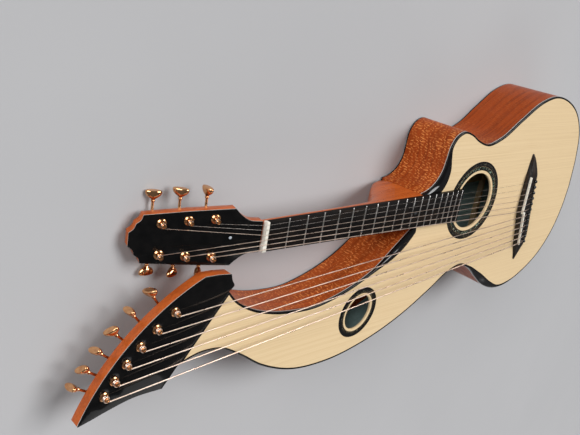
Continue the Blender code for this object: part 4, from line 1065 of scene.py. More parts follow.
FLOOR_PAINT = Clouded("floor_paint", gloss=(0.75, 0.85), cloud=3.0, colour=(0.46, 0.46, 0.47),
                      clouded=(0.44, 0.44, 0.45), blotch=(1.5, 3.0, 0.5), relief_scale=0.0)


def publish(shape: Shape, name: str, finishes: Sequence[Finish], stands_for: Sequence[str] = (),
            body: str = INSTRUMENT, laid: Matrix = LAID, crease: float = 35.0, mapped: bool = False) -> None:
    """Make a shape a piece of the object.

    Args:
        shape: the finished shape.
        name: the piece's name.
        finishes: its finishes, by material index.
        stands_for: CAD nodes that it replaces.
        body: CAD body that it rides on.
        laid: its place.
        crease: turn, in degrees, from which an edge shows sharp.
        mapped: whether it gets a UV map along its run.
    """
    mesh = shape.mesh(name, crease, mapped)
    mesh.transform(laid)
    for finish in finishes:
        mesh.materials.append(finish.material())
    piece = bpy.data.objects.new(name, mesh)
    bpy.context.scene.collection.objects.link(piece)
    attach(piece, body)
    if stands_for:
        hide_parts(*stands_for)
    LOG.info("%s on %s: %d faces", name, body, len(mesh.polygons))


# Body

@dataclass
class BodyOutline:
    """The body's outer edge, clockwise from the neck's treble corner, with the bevels of its black edge.

    Each bevel has its middle, its half length along the edge, its added width and its drop at the side.
    """

    treble: Keys = ((-0.3180, 0.0280), (-0.2965, 0.0335), (-0.2800, 0.0450), (-0.2705, 0.0620),
                    (-0.2680, 0.0850), (-0.2665, 0.1060), (-0.2560, 0.1235), (-0.2370, 0.1320),
                    (-0.2160, 0.1275), (-0.1900, 0.1150), (-0.1570, 0.1065), (-0.1200, 0.1160),
                    (-0.0670, 0.1485), (-0.0100, 0.1810), (0.0360, 0.1915), (0.0850, 0.1830),
                    (0.1310, 0.1590), (0.1650, 0.1195), (0.1830, 0.0650), (0.1910, 0.0000))
    bass: Keys = ((0.1910, 0.0000), (0.1865, -0.0510), (0.1680, -0.1070), (0.1390, -0.1470),
                  (0.0950, -0.1790), (0.0480, -0.1985), (0.0000, -0.2065), (-0.0350, -0.1955),
                  (-0.0800, -0.1665), (-0.1200, -0.1395), (-0.1520, -0.1270), (-0.1880, -0.1350),
                  (-0.2290, -0.1600), (-0.3000, -0.1985), (-0.3900, -0.2300), (-0.4800, -0.2435),
                  (-0.5550, -0.2370), (-0.6200, -0.2110), (-0.6650, -0.1810), (-0.7010, -0.1620),
                  (-0.7320, -0.1590), (-0.7680, -0.1680))
    arm: Keys = ((-0.6990, -0.0735), (-0.6830, -0.0910), (-0.6550, -0.1090), (-0.6150, -0.1235),
                 (-0.5700, -0.1315), (-0.5270, -0.1335), (-0.4810, -0.1255), (-0.4370, -0.1115),
                 (-0.3990, -0.0935), (-0.3700, -0.0740), (-0.3430, -0.0525), (-0.3180, -0.0300))
    bevels: tuple = (((-0.2830, 0.0425), 0.075, 0.0175, 0.0040), ((-0.3480, -0.0565), 0.085, 0.0105, 0.0040),
                     ((-0.0480, -0.1880), 0.120, 0.0105, 0.0080))
    bevel_share: float = 1.6
    spacing: float = 0.0030
    binding_width: float = 0.0032
    binding_round: float = 0.0006
    loop: np.ndarray = field(init=False)
    step: np.ndarray = field(init=False)
    width: np.ndarray = field(init=False)
    drop: np.ndarray = field(init=False)
    share: np.ndarray = field(init=False)
    tail: int = field(init=False)
    arm_end: int = field(init=False)

    def __post_init__(self) -> None:
        """Sample the runs and work out the black edge's width and drop along them."""
        runs = [evenly(smooth_run(keys), self.spacing) for keys in (self.treble, self.bass, self.arm)]
        self.loop = np.vstack([runs[0], runs[1][1:], runs[2]])
        self.tail = len(runs[0]) - 1
        self.arm_end = self.tail + len(runs[1]) - 1
        self.step = inward(self.loop)
        length = lengths(np.vstack([self.loop, self.loop[:1]]))
        self.width = np.full(len(self.loop), self.binding_width)
        self.drop = np.full(len(self.loop), self.binding_round)
        self.share = np.zeros(len(self.loop))
        for middle, half, width, drop in self.bevels:
            start = length[np.argmin(np.linalg.norm(self.loop - np.array(middle), axis=1))]
            away = np.abs((length[:-1] - start + length[-1] / 2) % length[-1] - length[-1] / 2)
            share = np.where(away < half, np.cos(np.minimum(away / half, 1.0) * math.pi / 2) ** 2, 0.0)
            share[[0, -1]] = 0.0
            self.width += width * share
            self.drop += (drop - self.binding_round) * share
            self.share = np.maximum(self.share, share)

    def inset(self, distance: object) -> np.ndarray:
        """Return the whole outline moved inward."""
        return self.loop + self.step * np.asarray(distance).reshape(-1, 1)

    def ends(self) -> tuple[np.ndarray, np.ndarray, np.ndarray, np.ndarray]:
        """Return the arm's end.

        Returns:
            Its inner corner, its outer corner, the way between them and the way out of the arm.
        """
        apex, outer = np.array(self.arm[0]), np.array(self.bass[-1])
        along = (outer - apex) / np.linalg.norm(outer - apex)
        return apex, outer, along, np.array([along[1], -along[0]])


@dataclass
class Rosette:
    """A ring of shell and black lines round a soundhole.

    Bands are distances past the hole's edge: a shell band's inner and outer edge, its pieces and its finish.
    A shell piece has its corners at shares of its own stretch of the band.
    """

    name: str
    centre: Pair
    radii: Pair
    turn: float
    inner: float
    outer: float
    sides: int
    bands: tuple[tuple[float, float, int, Finish], ...]
    lines: tuple[Pair, ...]
    thick: float = 0.0012
    sink: float = 0.0007
    proud: float = 0.00004
    play: float = 0.0001
    piece_span: tuple[float, ...] = (0.04, 0.35, 0.65, 0.96)

    def loop(self, offset: float) -> np.ndarray:
        """Return the hole's outline moved outward."""
        return self.at(offset, around(self.sides))

    def ring(self, inner: float, outer: float, low: float, high: float) -> Shape:
        """Return a ring.

        Args:
            inner: distance of its inner edge past the hole's edge.
            outer: distance of its outer edge.
            low: height of its underside.
            high: height of its top.

        Returns:
            The shape.
        """
        shape = Shape()
        corners = ((inner, low), (inner, high), (outer, high), (outer, low), (inner, low))
        edges = shape.run(at_height(self.loop(inner), low))
        for offset, level in corners[1:]:
            edges = shape.extend(edges, at_height(self.loop(offset), level))
        return shape

    def build(self) -> None:
        """Build the black ring, its pale lines and its shell pieces."""
        publish(self.ring(self.inner + self.play, self.outer - self.play, -self.thick, 0.0),
                f"{self.name}_ring", [EDGE_BINDING], [self.name])
        for k, (inner, outer) in enumerate(self.lines, 1):
            publish(self.ring(inner, outer, -self.sink, self.proud), f"{self.name}_line_{k}", [BRACE_WOOD])
        for k, (inner, outer, count, finish) in enumerate(self.bands, 1):
            shape = Shape()
            for piece in range(count):
                turns = (piece + np.array(self.piece_span)) / count * 2 * math.pi
                shape.plate(np.vstack([self.at(inner, turns), self.at(outer, turns[::-1])]), -self.sink,
                            self.proud)
            publish(shape, f"{self.name}_shell_{k}", [finish])

    def at(self, offset: float, angles: Sequence[float]) -> np.ndarray:
        """Return places past the hole's edge."""
        return on_ellipse(self.centre, [r + offset for r in self.radii], angles, self.turn)


@dataclass
class Body:
    """The soundboard, sides, back and black edges.

    A lining stands upright over a share of its height. The black edge's fullness is given for its plain
    stretches and for the middle of a bevel. Two pairs of ranks name strips of a side's section.
    """

    outline: BodyOutline
    rosettes: tuple[Rosette, ...]
    top_thick: float = 0.0035
    back_thick: float = 0.0025
    side_thick: float = 0.0024
    lining_width: float = 0.0065
    lining_height: float = 0.0130
    line_height: float = 0.0009
    hole_ease: float = 0.0006
    back_binding: float = 0.0022
    back_lift: float = 0.0001
    back_ease: float = 0.0006
    lining_wall: float = 0.45
    edge_full: Pair = (0.5, 0.12)
    edge_steps: int = 7
    LINE_RANKS: ClassVar[tuple[int, int]] = (1, 2)
    INSIDE_RANKS: ClassVar[tuple[int, int]] = (6, 7)
    TO_NECK: ClassVar[Pair] = (-1.0, 0.0)

    def build(self) -> None:
        """Build every piece of the body and dress the CAD pieces inside it."""
        self.soundboard()
        self.sides()
        self.binding()
        self.back()
        for rosette in self.rosettes:
            rosette.build()
        inside = {"top_bracing": BRACE_WOOD, "back_bracing": BRACE_WOOD, "neck_block": BLOCK_WOOD,
                  "tail_block": BLOCK_WOOD}
        for node, finish in inside.items():
            mesh = frame["nodes"][node].data
            mesh.materials.clear()
            mesh.materials.append(finish.material())
            LOG.info("%s dressed as %s", node, finish.name)

    def soundboard(self) -> None:
        """Build the soundboard with its holes and the grooves of the rosettes."""
        shape = Shape()
        edge = self.outline.inset(self.outline.width + FINE_GAP)
        rim = shape.run(at_height(edge, 0.0))
        holes = [shape.run(at_height(rosette.loop(rosette.outer), 0.0)) for rosette in self.rosettes]
        shape.fill(rim + [item for hole in holes for item in hole])
        lower = shape.extend(rim, at_height(edge, -self.top_thick))
        for hole, rosette in zip(holes, self.rosettes):
            edges = hole
            for offset, level in ((rosette.outer, -rosette.thick), (rosette.inner, -rosette.thick),
                                  (rosette.inner, 0.0), (self.hole_ease, 0.0), (0.0, -self.hole_ease),
                                  (0.0, -self.top_thick)):
                edges = shape.extend(edges, at_height(rosette.loop(offset), level))
            lower += edges
        shape.fill(lower)
        publish(shape, "soundboard_wood", [SPRUCE_TOP], ["soundboard"])

    def side_section(self, point: np.ndarray, step: np.ndarray, width: float, drop: float) -> list:
        """Return the section of a side: a wall with a lining at its top and another at its back.

        Args:
            point: place on the outline.
            step: step inward there.
            width: width of the black edge.
            drop: its drop at the side.

        Returns:
            The section's points.
        """
        head = -(self.top_thick + FINE_GAP)

        def under_top(distance: float, down: float) -> Triple:
            """Return a place under the soundboard."""
            return (*(point + step * distance), head - down)

        def over_back(distance: float, up: float) -> Triple:
            """Return a place over the back."""
            x, y = point + step * distance
            return (x, y, back_level(x) + self.back_thick + FINE_GAP + up)
        inner, foot = width + self.lining_width, self.side_thick + self.lining_width
        fall = drop - self.outline.binding_round
        wall = self.lining_height * self.lining_wall
        return [over_back(0, 0), under_top(0, fall + self.line_height), under_top(0, fall),
                under_top(width + GAP, 0), under_top(inner, 0), under_top(inner, wall),
                under_top(self.side_thick, self.lining_height),
                over_back(self.side_thick, self.lining_height), over_back(foot, wall), over_back(foot, 0)]

    def sides(self) -> None:
        """Build the three sides, each with its linings and the pale line under the black edge."""
        edge = self.outline
        _, _, along, _ = edge.ends()
        stretches = {"treble": (0, edge.tail), "bass": (edge.tail, edge.arm_end),
                     "arm": (edge.arm_end + 1, len(edge.loop) - 1)}
        finishes = {"treble": TREBLE_SIDE, "bass": BASS_SIDE, "arm": ARM_SIDE}
        for name, (first, last) in stretches.items():
            points = edge.loop[first:last + 1].copy()
            steps = inward(points, closed=False)
            if name == "treble":
                steps[-1] = self.TO_NECK
            elif name == "bass":
                steps[0] = self.TO_NECK
                steps[-1] = along / (along @ steps[-1])
            else:
                steps[0] = along / (along @ steps[0])
            shape = Shape()
            shape.loft([self.side_section(*row) for row in zip(points, steps, edge.width[first:last + 1],
                                                               edge.drop[first:last + 1])],
                       along=list(lengths(points)))
            shape.paint(self.LINE_RANKS, 1)
            shape.paint(self.INSIDE_RANKS, 2)
            publish(shape, f"{name}_side", [finishes[name], PALE_LINE, INSIDE_WOOD], [f"{name}_rib"],
                    mapped=True)

    def binding(self) -> None:
        """Build the black edge of the soundboard, with its three bevels."""
        edge = self.outline
        sections = []
        for point, step, width, drop, share in zip(edge.loop, edge.step, edge.width, edge.drop, edge.share):
            fall = drop - edge.binding_round
            shoulder = edge.binding_round + fall * (width - edge.binding_width) / width * edge.bevel_share
            full = self.edge_full[0] * (1.0 - share) + self.edge_full[1] * share
            guide = np.array([shoulder, -drop]) * (1 - full) / 2
            section = [(width, 0.0)]
            for t in np.linspace(0, 1, self.edge_steps):
                place = ((1 - t) ** 2 * np.array([shoulder, 0.0]) + 2 * t * (1 - t) * guide
                         + t ** 2 * np.array([0.0, -drop]))
                section.append(tuple(place))
            section += [(0.0, -(self.top_thick + fall)), (width, -self.top_thick)]
            sections.append([(*(point + step * distance), height) for distance, height in section])
        shape = Shape()
        shape.loft(sections, closed=True)
        publish(shape, "top_edge_binding", [EDGE_BINDING], ["top_binding"], crease=28.0)

    def back(self) -> None:
        """Build the back and its black edge."""
        flat = self.outline.loop.copy()
        flat[:, 0] /= math.cos(TAPER)
        step = inward(flat)
        wide, low, ease = self.back_binding, self.back_lift, self.back_ease
        corners = ((0.0, self.back_thick), (wide, self.back_thick), (wide, low), (ease, low),
                   (ease * EASE_SHARE, low + ease * EASE_SHARE), (0.0, low + ease))
        shape = Shape()
        shape.loft([[(*(point + way * distance), height) for distance, height in corners]
                    for point, way in zip(flat, step)], closed=True)
        publish(shape, "back_edge_binding", [EDGE_BINDING], ["back_binding"], laid=ON_BACK)
        shape = Shape()
        shape.plate(flat + step * (wide + FINE_GAP), 0.0, self.back_thick)
        shape.cap(self.back_thick - GAP, 1)
        publish(shape, "back_wood", [INSIDE_WOOD, BACK_WOOD], ["back_plate"], laid=ON_BACK)


# Neck

def inlay_dot(radius: float, sink: float, dome: Pair) -> Shape:
    """Return a round inlay with a faint dome.

    Args:
        radius: its radius.
        sink: its depth.
        dome: height of its brow and of its middle.

    Returns:
        The shape.
    """
    rim, brow, sides = 0.00003, 0.9, 28
    shape = Shape()
    shape.lathe([(0.0, -sink), (radius, -sink), (radius, rim), (radius * brow, dome[0]), (0.0, dome[1])],
                sides)
    return shape


@dataclass
class Fretboard:
    """The fretboard with its frets, marker and nut.

    A fret's end has shares of the board's half width and of the fret's height, its tang a share of the
    fret's width. The nut's step bears the strings counted from stepped_from on.
    """

    scale: float = 0.6480
    frets: int = 19
    fret_height: float = 0.0010
    fret_width: float = 0.0019
    overhang: float = 0.0047
    half_at_nut: float = 0.0221
    flare: float = math.tan(math.radians(0.93958))
    top_at_saddle: float = 0.0095
    pitch: float = math.tan(math.radians(0.69326))
    thick_at_nut: float = 0.0060
    body_at: float = -0.3180
    marker_radius: float = 0.0030
    marker_fret: int = 12
    nut_length: float = 0.0050
    nut_step: float = 0.0015
    nut_step_at: float = -0.0110
    nut_height: float = 0.0016
    nut_first: float = 0.0178
    nut_spacing: float = 0.0071
    nut_margin: float = 0.0012
    nut_overlap: float = 0.0002
    stepped_from: int = 4
    slot_top: float = 0.0009
    slot_foot: float = 0.00045
    slot_rise: float = 0.0005
    slot_floor: float = 0.0001
    corner_rise: float = 0.0002
    board_ease: float = 0.0005
    fret_ends: Keys = ((1.0, 0.35), (0.965, 1.0))
    fret_points: int = 9
    tang: float = 0.2
    marker_sink: float = 0.0010
    marker_dome: Pair = (0.00008, 0.00010)

    def top(self, x: float) -> float:
        """Return the height of the fretboard's top."""
        return self.top_at_saddle + self.pitch * x

    def under(self, x: float) -> float:
        """Return the height of the fretboard's underside: sloped over the neck, level over the body.

        Args:
            x: place along the board.

        Returns:
            The height.
        """
        start = self.top(-self.scale) - self.thick_at_nut
        share = min(1.0, (x + self.scale) / (self.body_at + self.scale))
        return start + (FINE_GAP - start) * share

    def half(self, x: float) -> float:
        """Return half the fretboard's width."""
        return self.half_at_nut + self.flare * (x + self.scale)

    def fret_at(self, number: int) -> float:
        """Return the place of a fret."""
        return -self.scale * 2 ** (-number / 12)

    def build(self) -> None:
        """Build the board, the frets, the marker and the nut."""
        board = Shape()
        sections = []
        for x in (-self.scale, self.body_at, self.fret_at(self.frets) + self.overhang):
            half, low, high = self.half(x), self.under(x), self.top(x)
            sections.append([(x, half, low), (x, -half, low), (x, -half, high), (x, half, high)])
        board.loft(sections)
        publish(board.ease(self.board_ease), "fretboard_wood", [FRETBOARD_WOOD], ["fretboard"])
        self.wires()
        self.marker()
        self.nut()

    def wires(self) -> None:
        """Build the frets, each a crowned bar with its ends dressed back."""
        shape = Shape()
        angles = np.linspace(0, math.pi, self.fret_points)
        ends = self.fret_ends + tuple((-place, share) for place, share in self.fret_ends[::-1])
        tang = self.fret_width * self.tang
        for number in range(1, self.frets + 1):
            x = self.fret_at(number)
            half, high = self.half(x), self.top(x)
            low = high - self.fret_height
            sections = []
            for place, share in ends:
                crown = [(x - self.fret_width / 2 * math.cos(a), half * place,
                          high + self.fret_height * share * math.sin(a)) for a in angles]
                sections.append(crown + [(x + tang, half * place, low), (x - tang, half * place, low)])
            shape.loft(sections)
        publish(shape, "fret_wires", [FRET_METAL])

    def marker(self) -> None:
        """Build the round marker in the twelfth space."""
        x = (self.fret_at(self.marker_fret - 1) + self.fret_at(self.marker_fret)) / 2
        dot = inlay_dot(self.marker_radius, self.marker_sink, self.marker_dome)
        publish(dot, "marker_dot", [MARKER_SHELL], laid=LAID @ Matrix.Translation((x, 0.0, self.top(x))))

    def nut(self) -> None:
        """Build the nut: two blocks with rounded tops and a slot for each string."""
        shape = Shape()
        high = self.top(-self.scale) + self.nut_height
        strings = [self.nut_first - self.nut_spacing * i for i in range(STRINGS)]
        low, corner = self.under(-self.scale), high + self.corner_rise
        slot = ((-self.slot_top, self.slot_rise), (-self.slot_foot, self.slot_floor),
                (self.slot_foot, self.slot_floor), (self.slot_top, self.slot_rise))
        spans = ((self.nut_step_at - self.nut_overlap, self.half_at_nut, self.nut_length),
                 (-self.half_at_nut, self.nut_step_at, self.nut_length + self.nut_step))
        for low_y, high_y, length in spans:
            edge = [(low_y, low), (low_y, corner)]
            for y in sorted(strings):
                if low_y + self.nut_margin < y < high_y - self.nut_margin:
                    edge += [(y + across, high + rise) for across, rise in slot]
            edge += [(high_y, corner), (high_y, low)]
            block = Shape()
            block.loft([[(-self.scale - reach, y, z) for y, z in edge] for reach in (0.0, length)])
            shape.add(block.ease(self.board_ease, angle=STEEP))
        publish(shape, "bone_nut", [SADDLE_BONE], ["nut"])


@dataclass
class Neck:
    """The neck's shaft with its heel.

    The heel's rows are a share of its length from the body, a share of its depth and its section's fullness.
    """

    board: Fretboard
    depth_at_nut: float = 0.0150
    depth_at_heel: float = 0.0210
    shoulder: float = 0.0015
    heel_length: float = 0.1230
    heel_lift: float = 0.0010
    cap_height: float = 0.0022
    setback: float = 0.0040
    heel: Keys = ((1.00, 0.00, 2.2), (0.89, 0.03, 2.6), (0.78, 0.12, 3.4), (0.58, 0.41, 5.0),
                  (0.36, 0.75, 7.0), (0.13, 0.99, 9.0), (0.00, 1.00, 9.0))
    shaft_power: float = 2.0
    section_points: int = 40
    curve_points: int = 721

    def build(self) -> None:
        """Build the shaft and heel in one piece."""
        end = self.board.body_at
        full = -back_level(end) - self.shoulder - self.heel_lift - GAP
        rows = [(-self.board.scale - 2 * self.setback, self.depth_at_nut, self.shaft_power),
                (-self.board.scale + 4 * self.setback, self.depth_at_nut, self.shaft_power)]
        rows += [(end - FINE_GAP - self.heel_length * away,
                  self.depth_at_heel + (full - self.depth_at_heel) * deep, power)
                 for away, deep, power in self.heel]
        keys = np.array(rows)
        line = smooth_run(keys[:, :2], 8)
        powers = np.interp(line[:, 0], keys[:, 0], keys[:, 2])
        shape = Shape()
        shape.loft([self.section(x, deep, power) for (x, deep), power in zip(line, powers)])
        shape.cap(-self.shoulder - full + self.cap_height, 1)
        publish(shape, "neck_shaft", [NECK_WOOD, EDGE_BINDING], ["neck"], crease=40.0)

    def section(self, x: float, deep: float, power: float) -> list:
        """Return a section of the neck.

        Args:
            x: its place.
            deep: its depth under the shoulder.
            power: its fullness, 2 for a half ellipse.

        Returns:
            The section's points.
        """
        place = max(x, -self.board.scale)
        half = self.board.half(place)
        level = min(self.board.under(place) - FINE_GAP, 0.0)
        a = np.linspace(math.pi, 0, self.curve_points)
        across = np.sign(np.cos(a)) * np.abs(np.cos(a)) ** (2 / power)
        down = self.shoulder + deep * np.abs(np.sin(a)) ** (2 / power)
        curve = np.column_stack([half * across, level - down])
        total = lengths(curve)[-1]
        curve = evenly(curve, total / self.section_points)
        return [(x, half, level), (x, -half, level)] + [(x, y, z) for y, z in curve]


@dataclass
class Head:
    """A head in three layers: a wooden core, a pale line and a black face."""

    thick: float = 0.0160
    veneer: float = 0.0018
    line: float = 0.0005
    hole: float = 0.0049
    core_ease: float = 0.0009
    face_ease: float = 0.0004

    def layers(self, name: str, outline: np.ndarray, centres: Iterable, nodes: Sequence[tuple[str, ...]],
               laid: Matrix = LAID) -> None:
        """Build the layers.

        Args:
            name: start of the pieces' names.
            outline: the head's outline.
            centres: middle of each post's hole.
            nodes: CAD nodes that the core replaces, and those that the face replaces.
            laid: the frame of the face.
        """
        holes = [circle(centre, self.hole, HOLE_SIDES) for centre in centres]
        seam = -self.veneer - self.line
        rows = (("core", -self.thick, seam, NECK_WOOD, self.core_ease, nodes[0]),
                ("line", seam, -self.veneer, PALE_LINE, 0.0, ()),
                ("face", -self.veneer, 0.0, FACE_LACQUER, self.face_ease, nodes[1]))
        for layer, low, high, finish, ease, stands_for in rows:
            shape = Shape()
            shape.plate(outline, low, high, holes)
            if ease:
                shape.ease(ease, angle=STEEP)
            publish(shape, f"{name}_{layer}", [finish], stands_for, laid=laid)


@dataclass
class Headstock(Head):
    """The neck's head.

    The side's rows are a distance from the nut and half the width there, in the head's own plane.
    """

    scale: float = 0.6480
    tilt: float = math.radians(16)
    setback: float = 0.0040
    level: float = 0.0005
    neck_side: Keys = ((0.0052, 0.0222), (0.0240, 0.0240), (0.0400, 0.0345), (0.0460, 0.0405))
    side_middle: Pair = (0.1100, 0.0370)
    tip_scallops: tuple[Keys, ...] = (((0.1680, 0.0325), (0.1702, 0.0258), (0.1762, 0.0208)),
                                      ((0.1762, 0.0208), (0.1790, 0.0140), (0.1850, 0.0090)))
    posts: Keys = ((0.0730, 0.0266), (0.1090, 0.0246), (0.1443, 0.0214))
    dot_at: Pair = (0.0495, 0.0)
    dot_radius: float = 0.0021
    dot_sink: float = 0.0005
    dot_dome: Pair = (0.0001, 0.00013)

    def plane(self) -> Matrix:
        """Return the frame of the head's face.

        Returns:
            The frame, with X along the head and Z out of its face.
        """
        c, s = math.cos(self.tilt), math.sin(self.tilt)
        return Matrix(((-c, 0, -s, -self.scale - self.setback), (0, -1, 0, 0), (-s, 0, c, self.level),
                       (0, 0, 0, 1)))

    def outline(self) -> np.ndarray:
        """Return the head's outline.

        Returns:
            Its points in the head's plane.
        """
        scallops = [smooth_run(keys, 6) for keys in self.tip_scallops]
        side = np.vstack([smooth_run(self.neck_side, 8), [self.side_middle], scallops[0], scallops[1][1:]])
        return np.vstack([side, side[::-1] * (1, -1)])

    def build(self) -> None:
        """Build the layers and the face's dot."""
        laid = LAID @ self.plane()
        centres = [(s, way * y) for s, y in self.posts for way in (1, -1)]
        self.layers("headstock", self.outline(), centres, ((), ("headstock_veneer",)), laid)
        dot = inlay_dot(self.dot_radius, self.dot_sink, self.dot_dome)
        publish(dot, "headstock_dot", [PEARL_DOT], laid=laid @ Matrix.Translation((*self.dot_at, 0)))


@dataclass
class HarpHead(Head):
    """The head at the arm's end: a round edge, with points off its ends and off the arm's inner corner."""

    thick: float = 0.0180
    outline_of: BodyOutline = field(default_factory=BodyOutline)
    radius: float = 0.3240
    crown: Pair = (-0.8400, -0.1150)
    facing: float = math.radians(135.85)
    half: float = 0.1230
    top: Keys = ((0.0413, -0.0031), (0.0198, -0.0006))
    bottom: Keys = ((0.0160, 0.0042), (0.0400, 0.0112), (0.0740, 0.0187), (0.1170, 0.0192))
    notch: Keys = ((0.0075, 0.0080), (0.0030, 0.0165))
    post_inset: float = 0.0145
    posts: tuple[float, ...] = tuple(-0.0613 + i * (0.0324 - 0.00108 * i) for i in range(STRINGS))
    heel_length: float = 0.0420
    heel_span: Pair = (0.014, 0.104)
    heel_taper: float = 0.0060
    heel_lift: float = 0.0020
    heel_steps: int = 15
    heel_sink: float = 0.0002
    heel_overlap: float = 0.0040
    heel_ease: float = 0.0060
    heel_ease_share: float = 0.4
    arc_steps: int = 24

    def edge(self, along: float, inset: float) -> tuple[Pair, float]:
        """Return the place on the round edge, or inside it, and the way that it faces there.

        Args:
            along: distance from the crown along the circle at that inset.
            inset: distance inside the edge.

        Returns:
            The place and the angle.
        """
        ways = math.cos(self.facing), math.sin(self.facing)
        middle = [place - self.radius * way for place, way in zip(self.crown, ways)]
        radius = self.radius - inset
        angle = self.facing + along / radius
        return (middle[0] + radius * math.cos(angle), middle[1] + radius * math.sin(angle)), angle

    def outline(self) -> np.ndarray:
        """Return the head's outline.

        Returns:
            Its points.
        """
        apex, outer, _, out = self.outline_of.ends()
        steps = range(2 * self.arc_steps + 1)
        arc = np.array([self.edge(self.half * (k / self.arc_steps - 1), 0.0)[0] for k in steps])
        top = arc[0] + np.array(self.top)
        notch = smooth_run([apex + out * GAP, *(apex + np.array(self.notch)), top[0]], 6)
        bottom = smooth_run([arc[-1], *(arc[-1] + np.array(self.bottom))], 6)
        return np.vstack([notch, top[1:], arc, bottom[1:], [outer + out * GAP]])

    def build(self) -> None:
        """Build the layers and the heel."""
        centres = [self.edge(along, self.post_inset)[0] for along in self.posts]
        self.layers("harp_head", self.outline(), centres, (("harp_head",), ("harp_head_veneer",)))
        self.heel()

    def heel(self) -> None:
        """Build the heel that carries the head on the arm's end."""
        apex, outer, along, out = self.outline_of.ends()
        foot = back_level(outer[0]) + self.heel_lift
        sections = []
        top = -self.thick + self.heel_overlap
        for t in np.linspace(0, 1, self.heel_steps):
            reach = FINE_GAP + (self.heel_length - FINE_GAP) * t
            deep = -self.thick - (-self.thick - foot) * (1 - t) ** 2 - self.heel_sink
            taper = self.heel_taper * t
            a = apex + along * (self.heel_span[0] + taper) + out * reach
            b = apex + along * (self.heel_span[1] - taper) + out * reach
            ease = min(self.heel_ease, (top - deep) * self.heel_ease_share)
            brow = deep + ease * EASE_SHARE
            sections.append([(*a, top), (*b, top), (*b, deep + ease),
                             (*(b - along * ease * EASE_SHARE), brow), (*(b - along * ease), deep),
                             (*(a + along * ease), deep), (*(a + along * ease * EASE_SHARE), brow),
                             (*a, deep + ease)])
        shape = Shape()
        shape.loft(sections)
        publish(shape, "harp_head_heel", [NECK_WOOD])


# Bridge and strings

@dataclass
class Bridge:
    """The bridge with its saddle and pins.

    The sections' rows are a place across, the front edge below and on top, the rear edge and the top's drop.
    A pin's neck has shares of the pin's radius and heights over the bridge.
    """

    height: float = 0.0085
    sections: Keys = (
        (0.0810, 0.0012, 0.0020, 0.0036, 0.0062), (0.0720, -0.0002, 0.0040, 0.0110, 0.0047),
        (0.0610, -0.0016, 0.0036, 0.0174, 0.0031), (0.0490, -0.0021, 0.0024, 0.0230, 0.0015),
        (0.0390, -0.0024, -0.0017, 0.0262, 0.0000), (0.0050, -0.0025, -0.0018, 0.0314, 0.0000),
        (-0.0280, -0.0011, -0.0004, 0.0386, 0.0000), (-0.0400, 0.0004, 0.0012, 0.0412, 0.0000),
        (-0.0720, 0.0108, 0.0115, 0.0484, 0.0000), (-0.0920, 0.0172, 0.0179, 0.0512, 0.0000),
        (-0.1095, 0.0213, 0.0220, 0.0472, 0.0000), (-0.1210, 0.0270, 0.0305, 0.0450, 0.0023),
        (-0.1330, 0.0320, 0.0350, 0.0415, 0.0041), (-0.1450, 0.0366, 0.0371, 0.0386, 0.0061))
    saddle_edge: Keys = ((0.0002, 0.0365), (0.0028, -0.0390), (0.0088, -0.0390), (0.0228, -0.1075),
                         (0.0258, -0.1069), (0.0123, -0.0360), (0.0060, -0.0360), (0.0032, 0.0365))
    saddle_rise: float = 0.0041
    slot_depth: float = 0.0040
    pin_radius: float = 0.0036
    pin_height: float = 0.0052
    pin_neck: Keys = ((0.0, -0.001), (0.70, -0.001), (0.72, 0.0009), (0.94, 0.0013))
    pin_brow: float = 0.0020
    pin_points: int = 8
    pin_sides: int = 20
    block_ease: float = 0.0007
    saddle_ease: float = 0.0009
    neck_pins: Pair = (0.0220, 0.0018)
    bass_pins: Pair = (0.0310, 0.0022)
    string_first: float = 0.0265
    string_spacing: float = 0.01168

    def pins(self) -> list[Pair]:
        """Return the place of each pin, from the highest string to the lowest."""
        rows = self.neck_pins, self.bass_pins
        along = [first + step * i for first, step in rows for i in range(STRINGS)]
        return [(x, self.string_first - self.string_spacing * i) for i, x in enumerate(along)]

    def build(self) -> None:
        """Build the bridge, the saddle and the pins."""
        block = Shape()
        sections = []
        for y, front, brow, rear, drop in self.sections:
            top = self.height - drop
            sections.append([(front, y, FINE_GAP), (brow, y, top), (rear, y, top), (rear, y, FINE_GAP)])
        block.loft(sections)
        publish(block.ease(self.block_ease), "bridge_wood", [BRIDGE_WOOD], ["bridge"])
        saddle = Shape()
        saddle.plate(self.saddle_edge, self.height - self.slot_depth, self.height + self.saddle_rise)
        publish(saddle.ease(self.saddle_ease, 3, STEEP), "bone_saddle", [SADDLE_BONE], ["saddle"])
        heads = Shape()
        r, brow = self.pin_radius, self.height + self.pin_brow
        profile = [(r * share, self.height + level) for share, level in self.pin_neck]
        profile += [(r * math.cos(a), brow + (self.pin_height - self.pin_brow) * math.sin(a))
                    for a in np.linspace(0, math.pi / 2, self.pin_points)[:-1]]
        profile.append((0.0, self.height + self.pin_height))
        for x, y in self.pins():
            pin = Shape()
            pin.lathe(profile, self.pin_sides)
            heads.add(pin, Matrix.Translation((x, y, 0.0)))
        publish(heads, "bridge_pins", [PIN_BLACK])


